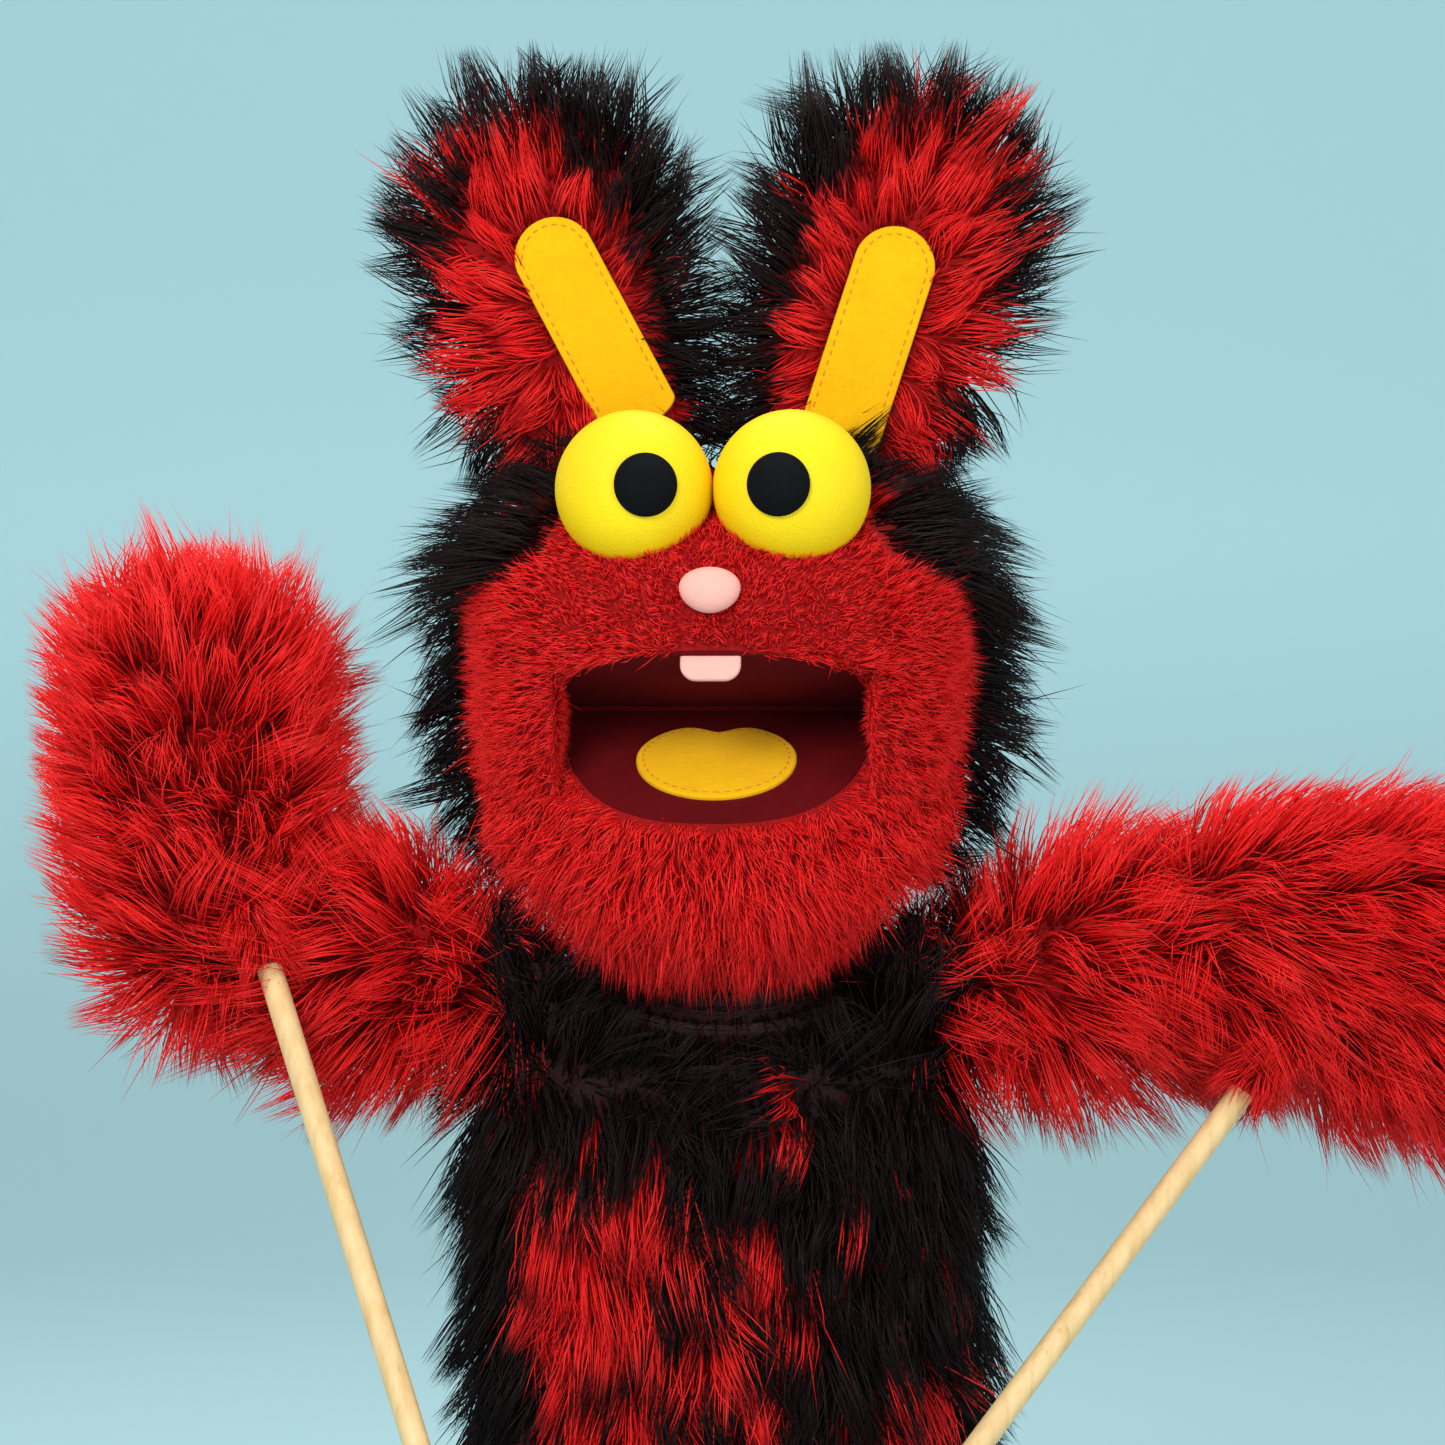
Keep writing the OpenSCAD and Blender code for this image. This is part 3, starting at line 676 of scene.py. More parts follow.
class FaceSettings(bpy.types.PropertyGroup):
    """The colours of the eyes and the felts"""
    eye: FloatVectorProperty(name="Eye", description="Foam ball eyes", subtype="COLOR", size=3,
                             default=(0.97, 0.66, 0.0), min=0, max=1)
    eye_deep: FloatVectorProperty(name="Eye, deep", description="Deeper patches of the balls",
                                  subtype="COLOR", size=3, default=(0.92, 0.60, 0.0), min=0, max=1)
    amber: FloatVectorProperty(name="Amber felt", description="Felt of the tongue and the ear strips",
                               subtype="COLOR", size=3, default=(0.95, 0.55, 0.004), min=0, max=1)
    mouth: FloatVectorProperty(name="Mouth felt", description="Dark red felt inside the mouth",
                               subtype="COLOR", size=3, default=(0.16, 0.002, 0.004), min=0, max=1)
    pink: FloatVectorProperty(name="Pink felt", description="Felt of the nose and the tooth",
                              subtype="COLOR", size=3, default=(1.0, 0.50, 0.42), min=0, max=1)
    pupil: FloatProperty(name="Pupil", description="Radius of a pupil, in mm", default=9.5, min=6, max=12)


class CameraSettings(bpy.types.PropertyGroup):
    """Where the puppet is seen from"""
    height: FloatProperty(name="Height", description="Height of the camera", default=0.373, unit="LENGTH")
    away: FloatProperty(name="Distance", description="Distance in front of the sleeve's middle",
                        default=1.3, unit="LENGTH")
    lens: FloatProperty(name="Lens", description="Focal length", default=101.2, unit="CAMERA")


# Operators

class PUPPET_OT_stage(bpy.types.Operator):
    """Sets the pale floor and backdrop, the soft lights and the camera"""
    bl_idname = "puppet.stage"
    bl_label = "Stage and lights"

    def execute(self, context):
        scene = context.scene
        view = scene.puppet_camera
        bm = bmesh.new()
        bmesh.ops.create_grid(bm, x_segments=1, y_segments=1, size=1)
        bmesh.ops.scale(bm, vec=(4, 3, 1), verts=bm.verts)
        far_edge = [e for e in bm.edges if all(v.co.y > 0 for v in e.verts)]
        wall = bmesh.ops.extrude_edge_only(bm, edges=far_edge)
        bmesh.ops.translate(bm, vec=(0, 0, 5), verts=points_of(wall["geom"]))
        fold = [e for e in bm.edges if all(v.co.y > 0 and v.co.z < 1 for v in e.verts)]
        round_edges(bm, 1.5, 24, edges=fold)
        bmesh.ops.translate(bm, vec=(0, 0, -0.001), verts=bm.verts)
        mesh = bpy.data.meshes.new("backdrop")
        bm.to_mesh(mesh)
        bm.free()
        mesh.shade_smooth()
        paper = Dye("backdrop_paper", roughness=0.9, specular=0.1)
        # The paper is painted darker on the floor and lighter up the wall, a painted light gradient, with a
        # faint noise
        height = paper.part(paper.place(), 2).step(0.0, 0.6) * 0.94 + paper.noise(1.2, 3) * 0.06
        paper.colour(paper.mix(height, rgb(0.42, 0.59, 0.61), rgb(0.58, 0.82, 0.85)))
        mesh.materials.append(paper.material)
        backdrop = bpy.data.objects.new("backdrop", mesh)
        scene.collection.objects.link(backdrop)

        self.light("key", (-0.7, -1.6, 1.25), 0.8, 25)
        self.light("fill", (1.2, -1.4, 0.6), 1.2, 12)
        self.light("top", (0.1, 0.5, 1.7), 1.0, 14)
        world = bpy.data.worlds.new("studio")
        world.use_nodes = True
        world.node_tree.nodes["Background"].inputs["Color"].default_value = rgb(0.75, 0.88, 0.92)
        world.node_tree.nodes["Background"].inputs["Strength"].default_value = 0.75
        scene.world = world
        scene.view_settings.view_transform = "Standard"

        camera = bpy.data.cameras.new("camera")
        camera.lens = view.lens
        camera.sensor_width = 36
        eye = bpy.data.objects.new("camera", camera)
        eye.location = (0, -view.away, view.height)
        eye.rotation_euler = (math.radians(90), 0, 0)
        scene.collection.objects.link(eye)
        scene.camera = eye
        return {"FINISHED"}

    def light(self, name, where, size, power):
        """A round soft light that faces the puppet"""
        lamp = bpy.data.lights.new(name, "AREA")
        lamp.shape = "DISK"
        lamp.size = size
        lamp.energy = power
        stand = bpy.data.objects.new(name, lamp)
        stand.location = where
        away = Vector(where) - Vector((0, 0, 0.35))
        stand.rotation_euler = away.to_track_quat("Z", "Y").to_euler()
        bpy.context.scene.collection.objects.link(stand)


# Sleeve

CHEST_SLOPE = math.tan(math.radians(8))
BOWL_R = 53.5       # Radius of the hole that the neck sits in
RIM = 0.84          # Where the wall turns inwards to the neck, as a share of the way


def chest_height(y):
    """Height of the sleeve's top, which slopes down to the chest"""
    return 265 + (y + SLEEVE_HALF_D + 3) * CHEST_SLOPE


def sleeve_point(angle, rise):
    """A point of the sleeve's skin, by its angle round and its share of the way up and in"""
    c, s = math.cos(angle), math.sin(angle)
    belly = 1 + 0.012 * math.sin(rise * 11 + c * 2)
    wall = Vector((SLEEVE_HALF_W * c * belly, SLEEVE_HALF_D * s * belly, 1))
    side = float(ramp(abs(wall.x), 50, 57))
    top = chest_height(wall.y) * (1 - side) + 298 * side
    if rise <= RIM:
        wall.z = 1 + (top - 1) * rise / RIM
        return wall
    share = (rise - RIM) / (1 - RIM)
    wall.z = top
    bowl = Vector((BOWL_R * c, BOWL_R * s, chest_height(BOWL_R * s) + 1))
    return wall.lerp(bowl, share)


def sleeve_skin(front):
    """The front or back half of the sleeve's skin"""
    rings, spokes = 50, 96
    bm = bmesh.new()
    bmesh.ops.create_circle(bm, segments=spokes, radius=1)
    rim = bm.edges[:]
    for _ in range(rings):
        grown = bmesh.ops.extrude_edge_only(bm, edges=rim)["geom"]
        rim = [g for g in grown if isinstance(g, bmesh.types.BMEdge) and g.is_boundary]
        bmesh.ops.translate(bm, vec=(0, 0, 1), verts=points_of(grown))
    for v in bm.verts:
        v.co = sleeve_point(math.atan2(v.co.y, v.co.x), v.co.z / rings)
    bmesh.ops.recalc_face_normals(bm, faces=bm.faces)
    side = max(bm.faces, key=lambda f: f.calc_center_median().x - abs(f.calc_center_median().y))
    if side.normal.x < 0:
        bmesh.ops.reverse_faces(bm, faces=bm.faces)
    return cut(bm, Matrix.Identity(4), (0, 0, 0), (0, 1 if front else -1, 0))


def sleeve_comb(p, n):
    """Down the sleeve in wandering tufts, and up and out where its rim meets the neck"""
    sway = drift(p, 60, 3)[:, None] * along(1, 0.3, 0) + drift(p, 42, 4)[:, None] * along(0.3, 0.5, 0.4)
    rise = ramp(p[:, 2], 250, 272)[:, None]
    hem = 1 - ramp(p[:, 2], 0, 36)[:, None]
    down = along(0, 0, -1) * (1 - 1.8 * rise) * (1 - hem)
    return unit(down + n * 0.4 * np.abs(p[:, :1]) / SLEEVE_HALF_W + sway * (0.8 - 0.3 * hem))


def sleeve_dark(p):
    """Black fringe and centre band over mottled red, and black at the collar as painted shade under the chin
    """
    x, y, z = p.T
    band = np.exp(-((x - 14 - (z - 110) * 0.26) / 13) ** 2)
    # Black at the top of the chest, under the chin, is painted shade
    collar = ramp(z, 232, 266)
    fringe = ramp(np.abs(x) / SLEEVE_HALF_W, 0.66, 0.95)
    mottle = 0.36 + 0.55 * drift(p * along(1, 1, 0.5), 30, 8) + 0.30 * drift(p * along(1, 1, 0.6), 14, 9)
    bare = 0.30 * np.exp(-((x + 32) / 24) ** 2 - ((z - 150) / 70) ** 2)
    back = ramp(y, -5, 25) * 0.6
    return np.clip(mottle + 0.75 * band + 0.9 * collar + 0.75 * fringe + back - bare, 0, 1)


class PUPPET_OT_sleeve(bpy.types.Operator):
    """Sews the furry sleeve from a front and a back panel"""
    bl_idname = "puppet.sleeve"
    bl_label = "Sleeve"

    def execute(self, context):
        look = context.scene.puppet_fur
        for front in (True, False):
            end = "front" if front else "back"
            # The sleeve's backing is black under its red fur as well: painted shade between the tufts
            panel = new_piece(f"sleeve_{end}_backing", finished(sleeve_skin(front), wall=CLOTH_WALL),
                              black_backing(), "sleeve", [f"body_fur_{end}"])
            for k, half in enumerate((-1, 1)):
                skin = cut(sleeve_skin(front), Matrix.Identity(4), (0, 0, 0), (-half, 0, 0))
                pile(f"sleeve_{end}_fur_{'ab'[k]}", skin, 20 + 4 * front + k, "sleeve", fur(),
                     sleeve_comb, lambda p: look.sleeve_pile + 5 * drift(p, 60, 5), sleeve_dark,
                     per_mm2=0.30 if front else 0.25, width=look.thickness, lean=0.60, fall=0.18,
                     lock=24, pull=0.92)
        return {"FINISHED"}


class PUPPET_OT_neck(bpy.types.Operator):
    """Covers the two neck rings with black fur, whose black is painted shade under the chin"""
    bl_idname = "puppet.neck"
    bl_label = "Neck"

    def execute(self, context):
        for k, ring in enumerate(("lower", "upper")):
            low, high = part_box(f"neck_{ring}_fur")
            radius = math.hypot((high.x - low.x) / (2 * MM), NECK.z - high.z / MM) - 1
            bm = bmesh.new()
            bmesh.ops.create_uvsphere(bm, u_segments=64, v_segments=40, radius=radius,
                                      matrix=Matrix.Translation(NECK))
            still = Matrix.Identity(4)
            cut(bm, still, (0, 0, high.z / MM), (0, 0, 1))
            cut(bm, still, (0, 0, low.z / MM), (0, 0, -1))
            throat = math.radians(27)
            low_at_front = NECK.z - 26 + 6 * k
            cut(bm, still, (0, -radius, low_at_front), (0, -math.sin(throat), math.cos(throat)))
            new_piece(f"neck_{ring}_backing", finished(bm.copy(), wall=1.2), black_backing(),
                      f"neck_{ring}", [f"neck_{ring}_fur"])
            # The neck's fur is all black: painted shade under the chin
            pile(f"neck_{ring}_pile", bm, 30 + k, f"neck_{ring}", fur(),
                 lambda p, n: unit(n * along(0.6, 0.6, 0) + along(0, 0, -0.8)), lambda p: 27 + 0 * p[:, 0],
                 lambda p: 0.97 + 0 * p[:, 0], per_mm2=0.42, lean=0.45, fall=0.25, lock=14)
        return {"FINISHED"}


# Head, jaw and cheeks: one form, cut by the planes of the mouth

HEAD_BALLS = [      # Each (x, y, z, radius), in the head's own frame, on both sides
    (44, -36, 112, 24), (16, -46, 112, 23), (34, -4, 124, 26), (32, 20, 98, 30),
    (52, 0, 72, 22), (28, 22, 44, 24), (43, -28, 52, 22), (15, -40, 30, 22),
]
COVER = 3           # How far the cloth stands off the balls
PLUSH_SKIN = 3.2    # How far the short pile's roots do
FELT_BED = 0.4      # The cloth stops this far short of the mouth's planes, under the felts
THROAT = math.radians(86)
JAW_BACK = math.radians(72)


def head_form(grow):
    """The whole head's smooth outside, before the mouth is cut"""
    balls = [(s * x, y, z, r + grow) for x, y, z, r in HEAD_BALLS for s in (-1, 1)]
    return stretched_over(balls, HEAD, cell=4, soften=5)


def behind(angle):
    """Normal, towards the back, of the plane that drops from the crease at an angle below level"""
    return Vector((0, math.sin(angle), -math.cos(angle)))


def open_behind(bm, place, back):
    """Opens a closed cut behind a line, so that the hand can pass"""
    inverse = place.inverted()
    flat = [f for f in bm.faces
            if abs((inverse.to_3x3() @ f.normal).z) > 0.98 and (inverse @ f.calc_center_median()).y > back
            and abs((inverse @ f.calc_center_median()).z) < 4]
    bmesh.ops.delete(bm, geom=flat, context="FACES")
    return bm


def upper_head(grow):
    """The face and crown, above the palate"""
    bm = head_form(grow)
    cut(bm, PALATE, (0, 0, -FELT_BED), (0, 0, -1), close=True)
    bmesh.ops.bisect_plane(bm, geom=all_of(bm), plane_co=PALATE @ Vector((0, -3, 0)),
                           plane_no=PALATE.to_3x3() @ Vector((0, 1, 0)))
    return open_behind(bm, PALATE, -3)


def nape(grow):
    """The back of the head, below the palate's plane and behind the throat"""
    bm = head_form(grow)
    cut(bm, PALATE, (0, 0, FELT_BED), (0, 0, 1))
    cut(bm, HEAD, HINGE, -behind(THROAT))
    under = [f for f in bm.faces if f.normal.z < -0.75]
    bmesh.ops.delete(bm, geom=under, context="FACES")
    return bm


def jaw_form(grow):
    """The chin, below the jaw's plane and in front of the wearer's thumb"""
    bm = head_form(grow)
    cut(bm, JAW, (0, 0, FELT_BED), (0, 0, 1), close=True)
    cut(bm, HEAD, HINGE, behind(JAW_BACK))
    return bm


def cheek_form(grow, s):
    """The stuffed cheek that fills the corner of the mouth between face and chin"""
    bm = head_form(grow)
    cut(bm, PALATE, (0, 0, -FELT_BED), (0, 0, 1), close=True)
    cut(bm, JAW, (0, 0, FELT_BED), (0, 0, -1), close=True)
    return cut(bm, HEAD, (s * (MOUTH_W / 2 + 1.5), 0, 0), (-s, 0, 0), close=True)


def outside_mouth(place, margin=1.5):
    """Keeps the pile off the felt of the mouth"""
    def keep(p, n):
        q = local(p, place)
        inside = (np.abs(q[:, 0] / (MOUTH_W / 2 + margin)) ** 2.6
                  + np.abs(np.minimum(q[:, 1], 0) / (MOUTH_D + margin)) ** 2.6) < 1
        return ~(inside & (np.abs(q[:, 2]) < 3.2) & (q[:, 1] < 2))
    return keep


def face_comb(p, n):
    """Away from the mouth, and down over the cheeks and chin"""
    q = local(p, HEAD)
    out = (q - along(0, 10, 72)) * along(1, 0.5, 1)
    turn = np.array(HEAD)[:3, :3]
    return unit(unit(out) @ turn.T + along(0, 0, -0.25) + 0.35 * drift(p, 30, 12)[:, None] * along(1, 0, 0.4))


def back_comb(p, n):
    """Outwards from the face at the sides, down behind"""
    q = local(p, HEAD)
    side = np.sign(q[:, :1]) * along(1, 0, 0)
    sway = 0.4 * drift(p, 40, 13)[:, None] * along(0, 0.4, 1)
    return unit(side * 0.9 + n * 0.3 + along(0, 0.35, -0.35) + sway)


def is_face(p):
    """Where the red face ends and the black fur begins"""
    q = local(p, HEAD)
    temple = ramp(np.abs(q[:, 0]), 34, 60) * ramp(q[:, 2], 96, 132)
    edge = -14 - 6 * ramp(q[:, 2], 60, 20) - 10 * ramp(q[:, 2], 118, 140) - 60 * temple
    return q[:, 1] < edge + 5 * drift(p, 18, 14)


def face_length(p):
    """Short plush, shorter still round the eyes and at the lips"""
    q = local(p, HEAD)
    eyes = np.hypot(np.abs(q[:, 0]) - EYE_R, q[:, 2] - 144.5)
    lip = np.abs(local(p, PALATE)[:, 2])
    near = ramp(eyes, EYE_R - 2, EYE_R + 22) * (0.55 + 0.45 * ramp(lip, 0, 14))
    near = near * np.where(lip > 2, ramp(np.abs(q[:, 0]), MOUTH_W / 2 + 1, MOUTH_W / 2 + 9), 1)
    return (4.5 + 6.5 * near) * (1 + 0.18 * drift(p, 25, 15))


def back_length(p):
    """Longest at the sides of the head"""
    q = local(p, HEAD)
    pile_length = bpy.context.scene.puppet_fur.head_pile
    return pile_length + 8 * ramp(np.abs(q[:, 0]), 40, 66) + 4 * drift(p, 40, 16)


def back_dark(p):
    """Black with a little red showing through"""
    return np.clip(0.88 + 0.3 * drift(p, 35, 18), 0, 1)


def no_dark(p):
    """All red"""
    return np.zeros(len(p))


class PUPPET_OT_head(bpy.types.Operator):
    """Covers the skull: short red plush on the face, long black fur behind and at the sides"""
    bl_idname = "puppet.head"
    bl_label = "Head"

    def execute(self, context):
        look = context.scene.puppet_fur
        mouth = outside_mouth(PALATE)
        clear_eyes = [middle(f"{side}_eye_ball") for side in SIDES]

        def keep_face(p, n):
            off = np.all([np.linalg.norm(p - np.array(e), axis=1) > EYE_R - 0.5 for e in clear_eyes], 0)
            return is_face(p) & mouth(p, n) & off

        def keep_back(p, n):
            return ~is_face(p) & mouth(p, n)

        skull = new_piece("skull_cover", finished(upper_head(COVER), wall=CLOTH_WALL), head_backing(),
                          "head", ["face_fur"])
        back = new_piece("nape_cover", finished(nape(COVER), wall=CLOTH_WALL), black_backing(),
                         "head", ["head_fur_back"])
        pile("face_plush", upper_head(PLUSH_SKIN), 40, "head", plush(), face_comb,
             face_length, no_dark, per_mm2=1.0, width=0.5, lean=0.50, fall=0.04, frizz=0.25, lock=9,
             pull=0.45, rings=2, keep=keep_face)
        pile("crown_fur", upper_head(COVER), 41, "head", fur(), back_comb,
             back_length, back_dark, per_mm2=0.30, width=look.thickness, lean=0.5, fall=0.08, lock=26,
             pull=0.95, stray=0.07, keep=keep_back)
        self.collar(look)
        pile("nape_fur", nape(COVER), 42, "head", fur(), back_comb,
             back_length, back_dark, per_mm2=0.27, width=look.thickness, lean=0.55, fall=0.15, lock=26,
             pull=0.95, stray=0.07)
        for side, s in SIDES.items():
            self.cheek(side, s)
        return {"FINISHED"}

    def collar(self, look):
        """Fur that stands up round the wrist and fills the gap under the chin, black as painted shade there
        """
        bm = bmesh.new()
        bmesh.ops.create_cone(bm, segments=64, radius1=41, radius2=39, depth=26,
                              matrix=Matrix.Translation(NECK + Vector((0, 0, 3))))
        # The collar's black is painted shade under the chin
        pile("collar_fur", bm, 43, "head", fur(),
             lambda p, n: unit(along(0, 0, 1) + 0.35 * drift(p, 20, 26)[:, None] * along(1, 1, 0)),
             lambda p: 31 + 4 * drift(p, 20, 27), back_dark, per_mm2=0.45, width=look.thickness,
             lean=0.7, fall=0.0, lock=20, pull=0.85)

    def cheek(self, side, s):
        """A cheek between face and chin, on no body, its pieces' places baked into their meshes"""

        def outer(p, n):
            return (local(p, PALATE)[:, 2] < -1) & (local(p, JAW)[:, 2] > 1)

        cover = new_piece(f"{side}_cheek_cover", cheek_form(COVER, s), red_backing(), None)
        short = pile(f"{side}_cheek_plush", cheek_form(PLUSH_SKIN, s), 44 + s, None, plush(),
                     face_comb, face_length, no_dark, per_mm2=1.0, width=0.5, lean=0.5, fall=0.04,
                     frizz=0.25, lock=9, pull=0.45, rings=2, keep=lambda p, n: outer(p, n) & is_face(p))
        long = pile(f"{side}_cheek_fur", cheek_form(COVER, s), 47 + s, None, fur(),
                    back_comb, back_length, back_dark, per_mm2=0.35, lean=0.5, fall=0.08, lock=17,
                    pull=0.88, keep=lambda p, n: outer(p, n) & ~is_face(p))
        for piece in (cover, short, long):
            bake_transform(piece)


class PUPPET_OT_jaw(bpy.types.Operator):
    """Covers the chin with red plush that grows longer underneath"""
    bl_idname = "puppet.jaw"
    bl_label = "Jaw"

    def execute(self, context):
        chin = new_piece("jaw_cover", finished(jaw_form(COVER), wall=CLOTH_WALL), red_backing(),
                         "jaw", ["chin_fur"])

        def length(p):
            lip = 0.45 + 0.55 * ramp(-local(p, JAW)[:, 2], 0.5, 12)
            return (11 + 9 * ramp(-local(p, HEAD)[:, 2], -58, -20) + 2 * drift(p, 25, 19)) * lip

        pile("chin_plush", jaw_form(PLUSH_SKIN), 50, "jaw", plush(), face_comb, length, no_dark,
             per_mm2=0.8, width=0.52, lean=0.55, fall=0.12, frizz=0.22, lock=10, pull=0.6,
             keep=outside_mouth(JAW))
        return {"FINISHED"}


# Felts

STITCH = 2.4
THREAD = 0.55


def d_shape(grow, thick, lift, place):
    """A flat piece cut to the mouth's outline, its edges rounded"""
    bm = bmesh.new()
    bmesh.ops.create_circle(bm, segments=96, radius=1, cap_ends=True)
    power = 2 / 2.6
    for v in bm.verts:
        t = math.atan2(v.co.y, v.co.x)
        c, s = math.cos(t), math.sin(t)
        v.co.x = (MOUTH_W / 2 + grow) * math.copysign(abs(c) ** power, c)
        v.co.y = (MOUTH_D + grow) * math.copysign(abs(s) ** power, s)
    bmesh.ops.bisect_plane(bm, geom=all_of(bm), plane_co=(0, -3.2, 0), plane_no=(0, 1, 0),
                           clear_outer=True)
    extruded(bm, (0, 0, thick))
    round_edges(bm, 0.5, 3, sharper=0.7)
    bmesh.ops.transform(bm, matrix=place @ Matrix.Translation((0, 0, lift)), verts=bm.verts)
    return bm


def stitches(name, path, out, place, body):
    """Short threads laid along a path of points, each standing slightly out of the felt"""
    bm = bmesh.new()
    for a, b in zip(path, path[1:]):
        run = Vector(b) - Vector(a)
        turn = axes_at((Vector(a) + Vector(b)) / 2, run, Vector(out))
        length = min(STITCH, run.length * 0.62)
        size = Matrix.Diagonal((length / 2, THREAD / 2, THREAD / 3, 1))
        bmesh.ops.create_icosphere(bm, subdivisions=2, radius=1, matrix=place @ turn @ size)
    return new_piece(name, bm, thread(), body)


def tongue_outline(t, inset=0.0):
    """A point of the tongue's kidney shape: two lobes towards the throat and a broad tip"""
    notch = 1 - 0.26 * math.exp(-((t - math.pi / 2) / 0.30) ** 2)
    reach = (17.5 if math.sin(t) > 0 else 22) - inset
    across = (25 - inset) * math.cos(t) * (1 - 0.04 * math.sin(t)) * notch
    return across, -0.48 * MOUTH_D + reach * math.sin(t) * notch


def thread():
    """Sewing thread, a shade darker than the felt that it holds"""
    return material("amber_thread", plain_dye, (0.75, 0.30, 0.01), (0.50, 0.16, 0.0), 0.8)


class PUPPET_OT_mouth(bpy.types.Operator):
    """Lines the mouth with felt and sets the tongue, the tooth and the crease's tape"""
    bl_idname = "puppet.mouth"
    bl_label = "Mouth"

    def execute(self, context):
        roof = new_piece("palate_felt", d_shape(1.2, 1.5, -0.9, PALATE), mouth_felt(), "head",
                         ["upper_mouth_lining"])
        floor = new_piece("jaw_felt", d_shape(1.2, 1.5, -0.6, JAW), mouth_felt(), "jaw",
                          ["lower_mouth_lining"])
        self.crease()
        self.tongue()
        self.tooth()
        return {"FINISHED"}

    def crease(self):
        """The roll of tape along the mouth's hinge"""
        bm = bmesh.new()
        across = HEAD @ Matrix.Translation(HINGE) @ Matrix.Rotation(math.radians(90), 4, "Y")
        bmesh.ops.create_cone(bm, cap_ends=True, segments=32, radius1=3.4, radius2=3.4, depth=MOUTH_W + 4,
                              matrix=across)
        round_edges(bm, 1.5, 4, sharper=1)
        new_piece("crease_tape", bm, mouth_felt(), "head", ["mouth_hinge_tape"])

    def tongue(self):
        """The felt tongue, stitched down along its edge"""
        bm = bmesh.new()
        bmesh.ops.create_circle(bm, segments=72, radius=1, cap_ends=True)
        for v in bm.verts:
            v.co.x, v.co.y = tongue_outline(math.atan2(v.co.y, v.co.x))
        extruded(bm, (0, 0, 2.4))
        round_edges(bm, 0.9, 4)
        bmesh.ops.transform(bm, matrix=JAW, verts=bm.verts)
        tongue = new_piece("tongue_felt", bm, yellow_felt(), "jaw", ["tongue"])
        seam = [(*tongue_outline(2 * math.pi * k / 43, inset=2.2), 2.45) for k in range(44)]
        stitches("tongue_stitches", seam, (0, 0, 1), JAW, "jaw")

    def tooth(self):
        """One broad tooth at the front of the palate, its lower corners round"""
        bm = bmesh.new()
        bmesh.ops.create_cube(bm, size=1)
        bmesh.ops.scale(bm, vec=(18.5, 2.6, 13), verts=bm.verts)
        corners = [e for e in bm.edges if abs(e.verts[0].co.y - e.verts[1].co.y) > 1 and e.verts[0].co.z < 0]
        round_edges(bm, 5, 8, edges=corners)
        round_edges(bm, 1.0, 3)
        place = PALATE @ Matrix.Translation((0, -MOUTH_D + 1.2, -2))
        bmesh.ops.transform(bm, matrix=place, verts=bm.verts)
        new_piece("tooth_felt", bm, pink_felt(), "head", ["tooth"])


class PUPPET_OT_eyes(bpy.types.Operator):
    """Sets the foam ball eyes, their felt pupils and the felt nose"""
    bl_idname = "puppet.eyes"
    bl_label = "Eyes and nose"

    def execute(self, context):
        ball = material("eye_foam", ball_dye, context.scene.puppet_face)
        for side in SIDES:
            centre = middle(f"{side}_eye_ball")
            bm = bmesh.new()
            bmesh.ops.create_icosphere(bm, subdivisions=5, radius=EYE_R, matrix=Matrix.Translation(centre))
            foam_ball = new_piece(f"{side}_eye_foam_ball", bm, ball, "head",
                                  [f"{side}_eye_ball"])
            self.pupil(side, centre)
        self.nose()
        return {"FINISHED"}

    def pupil(self, side, centre):
        """A disc of felt, laid on the ball's round surface"""
        look = (middle(f"{side}_pupil") - centre).normalized()
        aim = Matrix.Translation(centre) @ look.to_track_quat("Z", "Y").to_matrix().to_4x4()
        bm = bmesh.new()
        radius = bpy.context.scene.puppet_face.pupil
        bmesh.ops.create_circle(bm, segments=64, radius=radius, cap_ends=True)
        for _ in range(3):
            bmesh.ops.inset_region(bm, faces=[self.widest(bm)], thickness=radius * 0.24,
                                   use_even_offset=True)
        bmesh.ops.poke(bm, faces=[self.widest(bm)])
        for v in bm.verts:
            v.co.z = math.sqrt(max(1, (EYE_R + 0.15) ** 2 - v.co.x ** 2 - v.co.y ** 2))
        bmesh.ops.transform(bm, matrix=aim, verts=bm.verts)
        new_piece(f"{side}_pupil_felt", finished(bm, wall=-1.0), black_felt(), "head",
                  [f"{side}_pupil"])

    def widest(self, bm):
        """The middle face of a disc, which has the most corners"""
        return max(bm.faces, key=lambda f: len(f.verts))

    def nose(self):
        """A round pad, a little wider at its top"""
        bm = bmesh.new()
        bmesh.ops.create_uvsphere(bm, u_segments=40, v_segments=24, radius=1)
        for v in bm.verts:
            v.co.x *= 9.3 * (1 + 0.10 * v.co.z)
            v.co.y *= 5.5
            v.co.z *= 7.0
        turn = HEAD.to_3x3().to_4x4()
        bmesh.ops.transform(bm, matrix=Matrix.Translation(middle("nose")) @ turn, verts=bm.verts)
        new_piece("nose_felt", bm, pink_felt(), "head", ["nose"])


# Ears, arms and rods

STRIP_R = 13
STRIP_L = 56
ROD_OFFSET = 6.9    # From the rod's joint to the end of the wood


def ear_place(side):
    """The ear's own frame: x along its seam, z up its length, -y to the front"""
    axis = joint_axis(f"{side}_ear_flop")
    return axes_at(joint_at(f"{side}_ear_flop"), axis, axis.cross(HEAD.to_3x3() @ Vector((0, 1, 0))))


